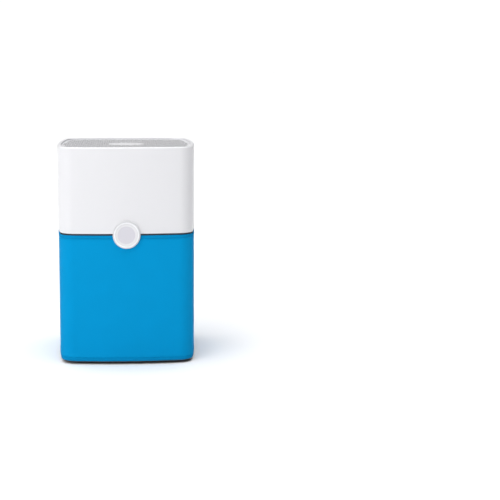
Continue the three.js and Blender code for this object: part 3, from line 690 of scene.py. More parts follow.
CLOTH = Track(0.2)
STITCH = 3.2  # length of one stitch; half as much lies between two
THREAD = (0.22, 6, 0.5)  # radius, sides and how far the ends narrow
SEAM_S = CLOTH.length / 2 + SIDE_R * SIDE_ANGLE  # where the cloth's two ends meet, in the middle of the rear


def add_cloth_map(made):
    """The cloth's own map: u round the tower from the front's left end, v up it, both in metres."""
    mesh = made.data
    points = np.array([v.co for v in mesh.vertices]) / MM
    near = CLOTH.points[:-1]
    s = np.array([CLOTH.distance[np.argmin(((near - p[:2]) ** 2).sum(1))] for p in points])
    layer = mesh.uv_layers.new(name="cloth")
    for face in mesh.polygons:
        values = [s[mesh.loops[i].vertex_index] for i in face.loop_indices]
        wraps = max(values) - min(values) > CLOTH.length / 2
        for i, value in zip(face.loop_indices, values):
            along = value + (CLOTH.length if wraps and value < CLOTH.length / 2 else 0)
            layer.data[i].uv = (along * MM, points[mesh.loops[i].vertex_index][2] * MM)


def stitch_row(z, inset):
    """A row of small stitches round the cloth."""
    track = Track(inset)
    step = STITCH * 1.5
    lift = 0.28 * np.sin(np.linspace(0, math.pi, 5)) - 0.12
    stitches = []
    for k in range(int(track.length / step)):
        s = np.linspace(k * step, k * step + STITCH, 5)
        plan = track.at(s) + track.out(s) * lift[:, None]
        stitches.append(piped([Vector((x, y, z)) for x, y in plan], *THREAD))
    return merged(*stitches)


def sleeve():
    cloth = extent("prefilter_sleeve")
    outer, inner = HALF - cloth.x1, HALF - cloth.x1 + 1.5
    heights = np.linspace(cloth.z0, cloth.z1, 36)
    outside = [(outer + 0.05 * math.sin(z * 0.05), z) for z in heights]
    inside = [(inner, z) for z in reversed(heights)]
    made = to_object("sleeve", ring([*outside, *inside], side=48, corner=20))
    add_cloth_map(made)
    sheet = stands_for(made, "prefilter_sleeve", weighted=False)
    going = [sheet_hem("sleeve_top_hem", 1), sheet_hem("sleeve_bottom_hem", -1), sleeve_seam(cloth)]
    rows = [stitch_row(z, 0.35) for z in (cloth.z1 - 1.6, cloth.z0 + 1.6)]
    threads = to_object("sleeve_stitching", merged(*rows))
    going.append(finished(threads, "blue_hem", "sleeve", weighted=False))
    add_cloth_map(threads)
    height = (extent("sleeve_top_hem").z1 - extent("sleeve_bottom_hem").z0) * MM


def sheet_hem(node, up):
    """A folded hem: two turns of cloth with a soft edge and a pressed line where the stitches run."""
    hem = extent(node)
    outer, inner = HALF - hem.x1, HALF - hem.x1 + 1.9
    edge, root = (hem.z1, hem.z0) if up > 0 else (hem.z0, hem.z1)
    section = [
        (inner, root), (outer + 0.45, root), (outer + 0.25, root + up * 0.5), (outer + 0.03, root + up * 1.4),
        (outer, (root + edge) / 2), (outer + 0.08, edge - up * 1.2), (outer + 0.4, edge - up * 0.4),
        (outer + 0.95, edge), (inner - 0.3, edge - up * 0.3), (inner, edge - up * 0.9),
    ]
    made = to_object(node, ring(section, side=48, corner=20))
    add_cloth_map(made)
    return stands_for(made, node, weighted=False)


def sleeve_seam(cloth):
    """The flat seam up the middle of the rear, with a row of stitches down each side."""
    track = Track(0.4)
    middle = SEAM_S * track.length / CLOTH.length
    across = np.array([-6, -5.6, -5, -2.5, 0, 2.5, 5, 5.6, 6])
    lift = np.array([-0.3, 0.12, 0.3, 0.34, 0.38, 0.34, 0.3, 0.12, -0.3])
    plan = track.at(middle + across) + track.out(middle + across) * lift[:, None]
    back = track.at(middle + across[::-1]) - track.out(middle + across[::-1]) * 0.4
    around = np.vstack([plan, back])
    heights = np.linspace(cloth.z0 + 0.2, cloth.z1 - 0.2, 40)
    strip = skinned([[(x, y, z) for x, y in around] for z in heights], False, True)
    bow = [(0, 0.2), (0.8, 0.42), (1.6, 0.48), (2.4, 0.42), (3.2, 0.2)]
    rows = []
    for offset in (-3.6, 3.6):
        spot, out = track.at([middle + offset])[0], track.out([middle + offset])[0]
        for z in np.arange(cloth.z0 + 3, cloth.z1 - 5, STITCH * 1.5):
            line = [Vector((*(spot + out * lifted), z + up)) for up, lifted in bow]
            rows.append(piped(line, *THREAD))
    made = to_object("sleeve_rear_seam", merged(strip, *rows))
    add_cloth_map(made)
    return finished(made, "blue_fabric", "sleeve", weighted=False)


# ---------------------------------------------------------------- filter cartridge


def bottom_frame():
    low = extent("filter_bottom_frame")
    floor = low.z0 + 3
    detail("filter_bottom_frame", ring([
        (5.6, low.z0, 0.6), (5.6, floor, 0.2), (2.4, floor, 0.8), (2.4, low.z1 - 9, 0.3),
        (2.9, low.z1 - 8.5, 0.3), (2.9, low.z1 - 7, 0.3), (2.4, low.z1 - 6.5, 0.3), (2.4, low.z1, 0.8),
        (7.8, low.z1, 0.5), (7.8, floor, 0.6), (28, floor, 0.6), (28, low.z1, 0.5), (30, low.z1, 0.6),
        (30, low.z0, 0.6),
    ]))


def base_plate():
    plate = extent("filter_base_plate")
    edge = HALF - plate.x1
    made = to_object("plate", ring([
        (edge + 4, plate.z0), (edge, plate.z0, 0.4), (edge, plate.z1, 0.4), (edge + 4, plate.z1),
    ], capped=True))
    grooves = []
    for offset in (-72, -24, 24, 72):
        grooves.append(block(-110, 110, offset - 1.5, offset + 1.5, plate.z1 - 0.8, plate.z1 + 1, 0))
        grooves.append(block(offset - 1.5, offset + 1.5, -110, 110, plate.z1 - 0.81, plate.z1 + 1.1, 0))
    cut(made, *grooves, crossing=True)
    stands_for(made, "filter_base_plate")


def top_frame():
    top = extent("filter_top_frame")
    shelf = top.z1 - 6
    made = to_object("top frame", ring([
        (2.4, top.z0, 0.5), (2.4, shelf, 1.4), (23, shelf, 0.5), (23, top.z1, 0.9), (30, top.z1, 0.9),
        (30, top.z0, 0.5), (27.5, top.z0, 0.5), (27.5, shelf - 3, 0.5), (4.7, shelf - 3, 0.5),
        (4.7, top.z0, 0.5),
    ], steps=4))
    above = top.z1 + 1
    notch = block(HALF - 31, HALF - 22, -12, 12, shelf - 1, above, 1.2)
    undercut = block(HALF - 31, HALF - 22, 10, 26, shelf - 1, shelf + 2.6, 0.3)
    reach = CORNER_CENTRE * math.sqrt(2)
    gaps = all_round(block(reach - 12, reach + 20, -6, 6, shelf, above, 1.0), 4)
    cut(made, notch, mirrored(notch), *gaps)
    cut(made, undercut, mirrored(undercut))
    stands_for(made, "filter_top_frame")


def filter_net():
    """An extruded diamond net: two layers of thin strands that cross and melt together."""
    net = extent("filter_net")
    pitch, slope, radius = 9.0, 1.5, 0.42
    z0, z1 = net.z0 - 0.5, net.z1 + 0.5
    strands = []
    for way, inset in ((1, 4.92), (-1, 5.1)):
        track = Track(inset)
        count = round(track.length / pitch)
        rise = np.linspace(z0 + radius, z1 - radius, 56)
        for k in range(count):
            s = track.length * k / count + way * (rise - z0) / slope
            plan = track.at(s)
            strands.append(piped([Vector((x, y, z)) for (x, y), z in zip(plan, rise)], radius, 4, 1.0))
    bands = [
        ring([(4.55, z), (4.55, z + 1.6), (5.4, z + 1.6), (5.4, z)], 0.3) for z in (net.z0, net.z1 - 1.6)
    ]
    detail("filter_net", merged(*strands, *bands), weighted=False)


def pleated_media():
    """One long sheet folded into deep pleats."""
    media = extent("filter_media")
    track = Track(17)
    pleats, per_pleat, half_sheet = 150, 14, 0.35
    count = pleats * per_pleat
    s = track.length * np.arange(count) / count
    phase = np.sin(TURN * np.arange(count) / per_pleat)
    depth = 8.35 * np.arcsin(0.985 * phase) / math.asin(0.985)
    middle = track.at(s) + track.out(s) * depth[:, None]
    ahead = np.roll(middle, -1, axis=0) - np.roll(middle, 1, axis=0)
    normal = np.column_stack([ahead[:, 1], -ahead[:, 0]]) / np.linalg.norm(ahead, axis=1)[:, None]
    outer, inner = middle + normal * half_sheet, middle - normal * half_sheet
    loops = [
        *[[(x, y, z) for x, y in outer] for z in (media.z0, media.z1)],
        *[[(x, y, z) for x, y in inner] for z in (media.z1, media.z0)],
    ]
    detail("filter_media", skinned(loops), weighted=False)


def filter_liner():
    liner = extent("filter_liner")
    outer, inner = HALF - liner.x1, HALF - liner.x1 + 1.2
    section = [(outer, liner.z0), (outer, liner.z1)]
    for z in np.arange(liner.z1 - 12, liner.z0 + 6, -16):
        section += [(inner, z + 6), (inner + 0.28, z + 5.3), (inner + 0.28, z + 4.7), (inner, z + 4)]
    detail("filter_liner", ring([section[0], section[1], (inner, liner.z1), *section[2:], (inner, liner.z0)]))


# ---------------------------------------------------------------- housing and grille

BOARD_X, BOARD_SCREW_Z, BOARD_REST_Z = 38, 356, 323
BOSSES = four_corners(extent("deck_screw_2").x)
SHROUD_SCREWS = four_corners(extent("shroud_screw_2").x)
ARM_LOW, ARM_HIGH = 326, 330  # a lock's arm, which passes through the pocket's floor
POCKET = SimpleNamespace(y=15, z0=322, z1=334, floor=HALF - 5)


def button_centre():
    button = extent("button_light_ring")
    return button.x, button.z


def housing_shell():
    shell = extent("upper_housing", "lower_deck")
    base, top = extent("sleeve_top_hem").z1 + 4, shell.z1
    ledge = top - 6.8
    made = to_object("housing", ring([
        (0, base, 0.9), (0, top, 4.6), (9, top, 1.2), (9, ledge, 0.3), (13, ledge, 0.4),
        (13, ledge - 2.5, 0.4), (7, ledge - 2.5, 0.8), (3, ledge - 8.2, 2), (3, base, 0.7),
    ], steps=5, side=24, corner=16))
    low, high = base + 6.3, base + 33
    bosses = rods(BOSSES, 6, low, high, 0.5, 32)
    reach = CORNER_CENTRE * math.sqrt(2)
    web = block(reach + 28, reach + CORNER_R - 2, -1.5, 1.5, low, high, 0.4)
    board = extent("control_board")
    posts = []
    for x in (-BOARD_X, BOARD_X):
        for radius, z in ((3.5, BOARD_SCREW_Z), (3, BOARD_REST_Z)):
            posts.append(rod_y(radius, 2.5 - HALF, board.y0 - 0.3, x, z, 0.3, 32))
    far = POCKET.y + 3
    behind = block(POCKET.floor - 3, HALF - 2, -far, far, POCKET.z0 - 3, POCKET.z1 + 3, 0.8)
    joined(made, *bosses, *posts, behind, mirrored(behind))
    joined(made, *all_round(web, 4))
    joined(made, cup_bridge(base))
    joined(made, button_cup())
    holes = rods(BOSSES, 2.3, base + 5, base + 28)
    for x in (-BOARD_X, BOARD_X):
        holes.append(rod_y(1.5, board.y0 - 9.3, board.y0 + 0.7, x, BOARD_SCREW_Z, sides=16))
    pocket = pocket_hollow()
    slot = block(POCKET.floor - 4, POCKET.floor + 1, -10.3, 10.3, ARM_LOW - 0.3, ARM_HIGH + 0.3, 0.6)
    gland_hole = rod_y(7.2, HALF - 5, HALF + 2, 0, extent("cord_gland").z, sides=48)
    cut(made, *holes, pocket, mirrored(pocket), *button_holes(), gland_hole)
    cut(made, slot, mirrored(slot))
    stands_for(made, "upper_housing", sharp=33)


def pocket_hollow():
    """The finger pocket's hollow, with a mouth that opens out in a soft edge."""
    loops = []
    z_mid = (POCKET.z0 + POCKET.z1) / 2
    for depth, spread in ((0, 0.0), (3.0, 0.0), (3.9, 0.12), (4.5, 0.5), (4.85, 1.1), (5.0, 1.9), (7, 1.9)):
        x, r = POCKET.floor + depth, 3.0 + spread
        w, h = POCKET.y + spread, POCKET.z1 - z_mid + spread
        loop = []
        for corner, (sy, sz) in enumerate(((1, 1), (-1, 1), (-1, -1), (1, -1))):
            for k in range(7):
                t = math.pi / 2 * (corner + k / 6)
                loop.append((x, sy * (w - r) + r * math.cos(t), z_mid + sz * (h - r) + r * math.sin(t)))
        loops.append(loop)
    return skinned(loops, False, True)


STEM_Z, PIN_X, PIN_Z = 324, 16, 322  # the button's stem in the middle and its guide pins beside it
CUP = SimpleNamespace(back=-165.6, floor=-167.6, edge=-170.0, inner=30.4, outer=32.3)


def button_cup():
    """The dish that the button sits in. Its lower half hangs below the housing, in front of the sleeve."""
    x, z = button_centre()
    dish = turned([
        (0, CUP.floor), (CUP.inner, CUP.floor, 0.3), (CUP.inner, CUP.edge, 0.5), (CUP.outer, CUP.edge, 0.8),
        (CUP.outer, CUP.back, 0.4), (0, CUP.back),
    ], sides=128)
    return along_y(dish, x, z)


def cup_bridge(base):
    """What joins the dish to the housing, above the seam only."""
    x, z = button_centre()
    angles = np.linspace(0.06, math.pi - 0.06, 48)
    arc = [(x + CUP.outer * math.cos(t), max(base + 0.02, z + CUP.outer * math.sin(t))) for t in angles]
    loops = [[(px, y, pz) for px, pz in arc] for y in (CUP.back - 0.5, 2 - HALF)]
    return skinned(loops, False, True)


def button_holes():
    button = extent("power_button")
    spots = ((3.9, button.x, STEM_Z), (2.9, -PIN_X, PIN_Z), (2.9, PIN_X, PIN_Z))
    return [rod_y(r, CUP.floor - 1, -160, x, z, sides=32) for r, x, z in spots]


GRILLE_HOLE_R = 3.9
GRILLE_PITCH = 11.0
GRILLE_PLAIN_R = 37.0
GRILLE_RIM = 2.6


def top_grille():
    """A plate pierced by staggered rows of round holes with rounded edges, plain in the middle."""
    grille = extent("top_grille")
    edge = HALF - grille.x1
    bevel = 0.3
    curve = bpy.data.curves.new("grille", "CURVE")
    curve.dimensions = "2D"
    curve.fill_mode = "BOTH"
    curve.extrude = ((grille.z1 - grille.z0) / 2 - bevel) * MM
    curve.bevel_depth = bevel * MM
    curve.bevel_resolution = 1
    curve.offset = -bevel * MM
    loops = [outline(edge, 24, 16)]
    row_step = GRILLE_PITCH * math.sin(math.pi / 3)
    rows = int(HALF / row_step)
    around = TURN * np.arange(18) / 18
    hole = GRILLE_HOLE_R * np.column_stack([np.cos(around), np.sin(around)])
    for row in range(-rows, rows + 1):
        for column in range(-16, 17):
            x = (column + (0.5 if row % 2 else 0.0)) * GRILLE_PITCH
            y = row * row_step
            clear = math.hypot(x, y) > GRILLE_PLAIN_R + GRILLE_HOLE_R
            if clear and inside_outline(x, y, edge + GRILLE_RIM + GRILLE_HOLE_R):
                loops.append(hole + (x, y))
    for loop in loops:
        spline = curve.splines.new("POLY")
        spline.points.add(len(loop) - 1)
        spline.use_cyclic_u = True
        for point, (x, y) in zip(spline.points, loop):
            point.co = (x * MM, y * MM, 0, 1)
    outlined = placed("grille outline", curve)
    mesh = evaluated_mesh(outlined)
    mesh.transform(Matrix.Translation((0, 0, grille.z * MM)))
    bpy.data.objects.remove(outlined)
    welded(mesh, 1e-6)
    # The holes' walls get grille_shade: painted shade, a dark grey on walls that are really white plastic.
    two_toned(mesh, "grille_shade", lambda middle, normal: (
        abs(normal.z) < 0.6 and inside_outline(middle.x, middle.y, edge + 1.5)
    ))
    stands_for(placed("grille", mesh), "top_grille")


# ---------------------------------------------------------------- deck, gasket, guard and shroud


def lower_deck():
    # The deck's charcoal plastic is partly its own colour and partly painted shade: dark so that the gap at
    # the seam, where the deck shows, reads as deep shadow.
    deck = extent("lower_deck")
    low, top = deck.z0, deck.z0 + 5.7
    made = to_object("deck", ring([
        (30, top), (18, top, 0.3), (18, low + 3, 0.3), (7, low + 3, 0.5), (7, deck.z1, 0.6),
        (4, deck.z1, 0.6), (4, low, 0.6), (20.5, low, 0.5), (20.5, top - 3, 0.5), (30, top - 3),
    ], capped=True))
    cut(made, rod(122, low, top + 2, 0, sides=128))
    joined(made, *rods(BOSSES, 6.5, low + 1, deck.z1, 0.5, 40))
    cut(made, *rods(BOSSES, 2.3, low - 1, deck.z1 + 1))
    wells = rods(BOSSES, 4.5, low - 1, low + 4.7, sides=32)
    shroud_holes = rods(SHROUD_SCREWS, 1.8, top - 4, top + 1, sides=20)
    slot = block(134.5, 142.5, -12, 12, top - 4, top + 1, 0.4)
    cut(made, *wells, *shroud_holes, slot, mirrored(slot))
    stands_for(made, "lower_deck")


def seal_gasket():
    seal = extent("seal_gasket")
    outer, inner = HALF - seal.x1, HALF - seal.x1 + 12
    made = detail("seal_gasket", ring([
        (outer, seal.z0, 1.4), (outer, seal.z1, 0.5), (inner, seal.z1, 0.5), (inner, seal.z0, 1.4),
        ((outer + inner) / 2 + 1.2, seal.z0, 0.5), ((outer + inner) / 2, seal.z0 + 0.7, 0.5),
        ((outer + inner) / 2 - 1.2, seal.z0, 0.5),
    ]), weighted=False)


def inlet_guard():
    """The grid over the fan's inlet: rows of round-ended slots either side of a middle rib."""
    guard = extent("inlet_guard")
    flange, plug = guard.y1, guard.y1 - 5.5
    pitch, half_width, half_rib, open_r = 11.0, 4.5, 1.2, 117.5
    slots = []
    for i in range(-10, 10):
        x = (i + 0.5) * pitch
        end = math.sqrt(open_r**2 - (abs(x) + half_width) ** 2)
        for y0, y1 in ((half_rib, end), (-end, -half_rib)):
            slots.append(round_slot(x, y0, y1, half_width, guard.z0 - 1, guard.z1 + 1))
    detail("inlet_guard", turned([
        (0, guard.z0), (plug, guard.z0, 0.5), (plug, guard.z0 + 2, 0.2), (flange, guard.z0 + 2, 0.3),
        (flange, guard.z1, 0.4), (0, guard.z1),
    ], sides=128), holes=slots)


def round_slot(x, y0, y1, r, z0, z1):
    """An upright hole along Y, 2 r wide, with round ends."""
    corner = min(r, (y1 - y0) / 2) * 0.98
    points = []
    for k in range(4):
        cx = x + (r - corner) * (1 if k in (0, 3) else -1)
        cy = y1 - corner if k in (0, 1) else y0 + corner
        for t in np.linspace(math.pi / 2 * k, math.pi / 2 * (k + 1), 7):
            points.append((cx + corner * math.cos(t), cy + corner * math.sin(t)))
    return skinned([[(a, b, z) for a, b in points] for z in (z0, z1)], False, True)


def fan_shroud():
    shroud = extent("fan_shroud")
    low, top = shroud.z0, shroud.z1
    foot, throat, ledge = shroud.y1, 320, extent("motor_mount").z0
    section = [
        (121, low, 0.5), (foot, low, 0.5), (foot, low + 2.9, 0.6), (122.5, low + 2.9, 2), (118, throat, 5),
        (118, ledge - 3, 2), (120.7, ledge, 2), (120.7, top - 3, 1), (128, top - 3, 0.5),
        (128, top, 0.6), (118.2, top, 0.8), (118.2, ledge - 0.3, 0.3), (115.5, ledge - 0.3, 0.3),
        (115.5, throat, 12),
    ]
    ribs = all_round(block(117.5, 126.5, -0.9, 0.9, low + 1.5, low + 9, 0.4), 16)
    holes = rods(SHROUD_SCREWS, 1.8, low - 1, low + 4, sides=20)
    detail("fan_shroud", turned(section, sides=128, steps=5), ribs, holes)


# ---------------------------------------------------------------- motor

MOTOR_SIDES = 96
THREE_ROUND = [math.radians(degrees) for degrees in (90, 210, 330)]
MOTOR_SCREWS = [(30 * math.cos(t), 30 * math.sin(t)) for t in THREE_ROUND]


def vane(span_steps, chord_steps, surface):
    """A closed thin vane from its two faces: surface(span, chord, side) with side from -1 to 1."""
    loops = []
    for i in range(span_steps + 1):
        span = i / span_steps
        face = [surface(span, j / chord_steps, 1) for j in range(chord_steps + 1)]
        back = [surface(span, j / chord_steps, -1) for j in range(chord_steps, -1, -1)]
        loops.append([*face, *back])
    return skinned(loops, False, True)


def motor_mount():
    mount = extent("motor_mount")
    top = mount.z1
    root, reach, low, height = 51, 65.6, 388, 44

    def surface(span, rise, side):
        r = root + reach * span
        thick = 1.15 * (0.35 + 0.65 * math.sqrt(max(0, math.sin(math.pi * rise))))
        angle = 0.36 * (rise - rise**2 / 2) + side * thick / r
        return (r * math.cos(angle), r * math.sin(angle), low + height * rise)

    made = to_object("mount", turned([
        (52, mount.z0, 0.6), (52, top, 2.5), (12, top, 0.6), (12, top - 2.7, 0.4),
        (49.5, top - 2.7, 1.5), (49.5, mount.z0, 0.6),
    ], sides=MOTOR_SIDES, steps=5))
    joined(made, *all_round(vane(10, 16, surface), 7, 0.0))
    joined(made, tube(115.8, 117.9, mount.z0, 436, 0.5, sides=128))
    holes = rods(MOTOR_SCREWS, 1.8, top - 4, top + 1)
    vents = [
        spun(block(36, 46, -1.5, 1.5, top - 5, top + 1, 1.0), t + math.pi / 3 + offset)
        for t in THREE_ROUND for offset in (-0.3, -0.15, 0, 0.15, 0.3)
    ]
    cut(made, *holes, *vents)
    stands_for(made, "motor_mount")


def motor_bells():
    low, high = extent("motor_lower_bell"), extent("motor_upper_bell")
    vents = all_round(block(20, 38, -2.2, 2.2, low.z0 - 1, low.z0 + 5, 1.6, 3), 12)
    detail("motor_lower_bell", turned([
        (6, low.z0, 0.5), (46, low.z0, 3), (46, low.z1, 0.5), (43.5, low.z1, 0.4), (43.5, low.z0 + 4, 2),
        (13.5, low.z0 + 4, 0.5), (13.5, low.z1 - 1, 0.5), (11.3, low.z1 - 1, 0.3), (11.3, low.z0 + 3.7, 0.3),
        (6, low.z0 + 3.7, 0.3),
    ], sides=MOTOR_SIDES, steps=4), holes=vents)
    holes = rods(MOTOR_SCREWS, 1.8, high.z1 - 6, high.z1 + 1)
    slits = all_round(block(40, 50, -2.5, 2.5, high.z0 + 8, high.z1 - 8, 1.5), 12)
    detail("motor_upper_bell", turned([
        (6, high.z1, 0.5), (6, high.z1 - 3.7, 0.3), (11.3, high.z1 - 3.7, 0.3), (11.3, high.z1 - 11, 0.3),
        (13.5, high.z1 - 11, 0.5), (13.5, high.z1 - 4, 0.5), (43.5, high.z1 - 4, 2), (43.5, high.z0, 0.4),
        (46, high.z0, 0.5), (46, high.z1, 3),
    ], sides=MOTOR_SIDES, steps=4), holes=[*holes, *slits])


def stator():
    core = extent("stator_core")
    slots = all_round(block(25, 30, -1.1, 1.1, core.z0 - 1, core.z1 + 1, 0), 24, 0.0)
    detail("stator_core", tube(26.3, core.x1, core.z0, core.z1, 0.4, sides=MOTOR_SIDES), holes=slots)
    for node, way in (("stator_winding_lower", -1), ("stator_winding_upper", 1)):
        coil = extent(node)
        root, crown = (coil.z1, coil.z0) if way < 0 else (coil.z0, coil.z1)
        shape = tube(28, 42.5, coil.z0, coil.z1, 2.6, sides=192, steps=5)
        detail(node, changed(shape, lobed(root, crown)), weighted=False)


def lobed(root, crown):
    """Gathers a ring's free end into twelve rounded coil heads."""
    middle_r = 35.2

    def change(x, y, z):
        swell = abs(math.sin(6 * math.atan2(y, x))) ** 0.5
        reach = (z - root) / (crown - root)
        r = math.hypot(x, y)
        squeezed = middle_r + (r - middle_r) * (1 - 0.22 * (1 - swell) * reach)
        return (squeezed * x / r, squeezed * y / r, root + (z - root) * (1 - 0.45 * (1 - swell)))

    return change


def bearings():
    for node in ("bearing_lower", "bearing_upper"):
        box = extent(node)
        detail(node, both_ends([
            (4.3, 0, 0.3), (6.2, 0, 0.3), (6.4, 0.5, 0.2), (8.9, 0.5, 0.2), (9.1, 0, 0.3), (11, 0, 0.4),
        ], box, 64))


def both_ends(section, box, sides):
    """A turned piece with two like ends. The section lists radius, depth in from the end, and rounding."""
    low = [(r, box.z0 + depth, soft) for r, depth, soft in section]
    high = [(r, box.z1 - depth, soft) for r, depth, soft in reversed(section)]
    return turned([*low, *high], sides=sides)


def rotor():
    shaft = extent("motor_shaft")
    r = shaft.y1
    threads = []
    for k in range(10):
        z = shaft.z0 + 0.8 + 0.6 * k
        threads += [(r - 0.32, z), (r, z + 0.3)]
    detail("motor_shaft", turned([
        (0, shaft.z0), (r - 0.7, shaft.z0, 0.2), *threads, (r, shaft.z1, 0.6), (0, shaft.z1),
    ], sides=48))
    detail("rotor_core", both_ends([
        (4.3, 0, 0.3), (16, 0, 0.5), (17.5, 1.2, 0.8), (20.5, 1.2, 0.8), (22, 0, 0.5), (25.7, 0, 0.5),
    ], extent("rotor_core"), MOTOR_SIDES))
    nut = extent("impeller_nut")
    bore = rod(4.3, nut.z0 - 1, nut.z1 + 1, 0, sides=40)
    detail("impeller_nut", hexagon(8, nut.z0, nut.z1), holes=[bore])


def hexagon(r, z0, z1):
    """A nut's outline with its corners turned off at both ends."""
    loops = []
    for z, share in ((z0, 0.93), (z0 + 0.6, 1.0), (z1 - 0.6, 1.0), (z1, 0.93)):
        loop = []
        for t in TURN * np.arange(36) / 36:
            flat = math.cos(math.pi / 6) / math.cos((t + math.pi / 6) % (math.pi / 3) - math.pi / 6)
            reach = r * min(share, flat)
            loop.append((reach * math.cos(t), reach * math.sin(t), z))
        loops.append(loop)
    return skinned(loops, False, True)


def impeller():
    fan = extent("fan_impeller")
    hub = fan.z0
    top = hub + 44
    made = to_object("hub", turned([
        (4.3, hub, 0.4), (47, hub, 2.0), (47, top, 0.5), (44, top, 0.5), (44, hub + 3, 2),
        (10, hub + 3, 1.5), (10, hub + 26, 0.8), (4.3, hub + 26, 0.4),
    ], sides=MOTOR_SIDES, steps=4))
    root, reach, middle = 45.5, 67.7, 347

    def surface(span, chord, side):
        r = root + reach * span
        width = 0.62 + 0.04 * span
        if span > 0.9:
            width *= 1 - 0.22 * ((span - 0.9) / 0.1) ** 2
        angle = 0.18 * span + width * (chord - 0.5)
        camber = (3 - span) * (1 - (2 * chord - 1) ** 2)
        thick = (1.2 - 0.35 * span) * (0.3 + 0.7 * math.sqrt(max(0, math.sin(math.pi * chord**0.7))))
        z = middle - (32 - 12 * span) * (chord - 0.5) + camber + side * thick
        return (r * math.cos(angle), r * math.sin(angle), z)

    joined(made, *all_round(vane(20, 20, surface), 7, 0.0))
    rib = spun(block(9, 45, -0.8, 0.8, hub + 1.5, hub + 9, 0.4), 0.2)
    joined(made, *all_round(rib, 6, 0.0))
    stands_for(made, "fan_impeller")


def spinner_cap():
    spinner = extent("spinner_cap")
    low, top = spinner.z0, spinner.z1
    detail("spinner_cap", turned([
        (0, low), (12, low + 0.3), (24, low + 1.4), (32, low + 3.1), (38, low + 5.4), (42.5, low + 8.3),
        (46, top, 0.5), (43, top, 0.5), (39.5, low + 9.1), (35, low + 6.8), (22, low + 3.8),
        (0, low + 2.5),
    ], sides=128), sharp=50)


# ---------------------------------------------------------------- screws


def screw_shape(head_r, head_h, shank_r, length):
    """A pan-head screw pointing down from z = 0, with a coarse thread. Its cross recess is cut in screws().
    """
    threads = []
    z = -1.2
    while z > -length + 2:
        threads += [(shank_r - 0.25, z), (shank_r, z - 0.4)]
        z -= 1.0
    dome = [(0, head_h), (head_r * 0.45, head_h * 0.97), (head_r * 0.8, head_h * 0.74)]
    head = [*dome, (head_r, head_h * 0.25, 0.2), (head_r, 0, 0.15), (shank_r, 0)]
    section = [*head, *threads, (shank_r * 0.8, 1 - length), (0, -length)]
    return turned(section, sides=40)


# Each kind's number of screws, head radius and height, shank radius, and length below the head.
SCREWS = {
    "deck_screw": (4, 4, 3.0, 2.0, 30.3),
    "shroud_screw": (4, 3, 2.0, 1.5, 9.0),
    "motor_screw": (3, 3, 2.0, 1.5, 11.3),
    "board_screw": (2, 2.8, 1.8, 1.2, 9.0),
}


def screws():
    for kind, (count, head_r, head_h, shank_r, length) in SCREWS.items():
        pattern = to_object(kind, screw_shape(head_r, head_h, shank_r, length))
        arm, wide = head_r * 0.62, head_r * 0.13
        recess = [
            block(-arm, arm, -wide, wide, head_h * 0.35, head_h + 1, 0),
            block(-wide * 1.01, wide * 1.01, -arm * 0.99, arm * 0.99, head_h * 0.36, head_h + 1.1, 0),
        ]
        cut(pattern, *recess, crossing=True)
        for k in range(count):
            node = f"{kind}_{k + 1}"
            box = extent(node)
            made = placed(node, pattern.data.copy())
            seat, tilt = (box.x, box.y, box.z1 - head_h), 0.0
            if kind == "deck_screw":
                seat, tilt = (box.x, box.y, box.z0 + head_h), math.pi
            elif kind == "board_screw":
                seat, tilt = (box.x, box.y1 - head_h, box.z), -math.pi / 2
            place = Matrix.Translation(Vector(seat) * MM) @ Matrix.Rotation(tilt, 4, "X")
            made.data.transform(place @ Matrix.Rotation(0.6 * k + 0.3, 4, "Z"))
            stands_for(made, node)
        bpy.data.objects.remove(pattern)


# ---------------------------------------------------------------- electrics

SUPPLY_ROUTE = [
    (44.6, 139, 314), (80, 136, 312), (118, 116, 311), (140, 82, 311), (149, 40, 311.5), (150.5, 0, 312),
    (149, -40, 311.5), (140, -84, 312), (116, -116, 314), (86, -134, 320), (62, -140.5, 326),
    (40.6, -141, 327),
]
MOTOR_ROUTE = [
    (0, -8.6, 446.8), (0, -8.4, 451), (0, -13, 455.5), (0, -28, 456.5), (0, -60, 455), (0, -105, 450),
    (0, -127, 446), (0, -138, 435), (0, -141, 415), (0, -141, 390), (0, -141, 362.6),
]


def leads():
    detail("supply_lead", cable(SUPPLY_ROUTE, 2.5), weighted=False)
    detail("motor_lead", cable(MOTOR_ROUTE, 2.0), weighted=False)


def control_board():
    board = extent("control_board")
    made = to_object("board", filling(board, 0.25, 1))
    y0, y1 = board.y0 - 1, board.y1 + 1
    cut(made, *[rod_y(1.6, y0, y1, x, BOARD_SCREW_Z, sides=24) for x in (-BOARD_X, BOARD_X)])
    made.data.materials.append(MATERIALS["circuit_board"])
    stands_for(made, "control_board")
    face = board.y1
    black, bright = [], []

    def chip(kind, x0, x1, z0, z1, height, radius=0.15):
        kind.append(block(x0, x1, face - 0.1, face + height, z0, z1, radius))

    chip(black, -34, -20, 322, 338, 9, 0.6)
    chip(black, 10, 18, 336, 346, 1.6, 0.25)
    chip(black, -14, -6, 326, 334, 1.6, 0.25)
    for x, z, r, h in ((-28, 347, 4.2, 8), (26, 346, 3.1, 7), (33, 338, 2.5, 6)):
        black.append(rod_y(r, face - 0.1, face + h, x, z, 0.7))
        bright.append(rod_y(r * 0.86, face + h - 0.1, face + h + 0.12, x, z, 0.05))
    for k in range(5):
        for x in (9.2, 18.8):
            chip(bright, x - 0.9, x + 0.9, 336.6 + 2 * k, 337.5 + 2 * k, 0.5)
        chip(bright, -15 + 2.2 * k, -14.2 + 2.2 * k, 324.6, 335.4, 0.5)
    for k in range(6):
        x = -12 + 4.6 * k
        chip(black, x - 1.6, x + 1.6, 341.4, 343.1, 0.7)
        chip(bright, x - 2.2, x + 2.2, 341.5, 343.0, 0.45)
    for name, shapes, material, slot in (
        ("board_components", black, "component_black", "charcoal_plastic"),
        ("board_solder", bright, "solder", "steel"),
    ):
        fitted = to_object(name, merged(*shapes))
        fitted.data.materials.append(MATERIALS[material])
        finished(fitted, slot, "fan_unit")


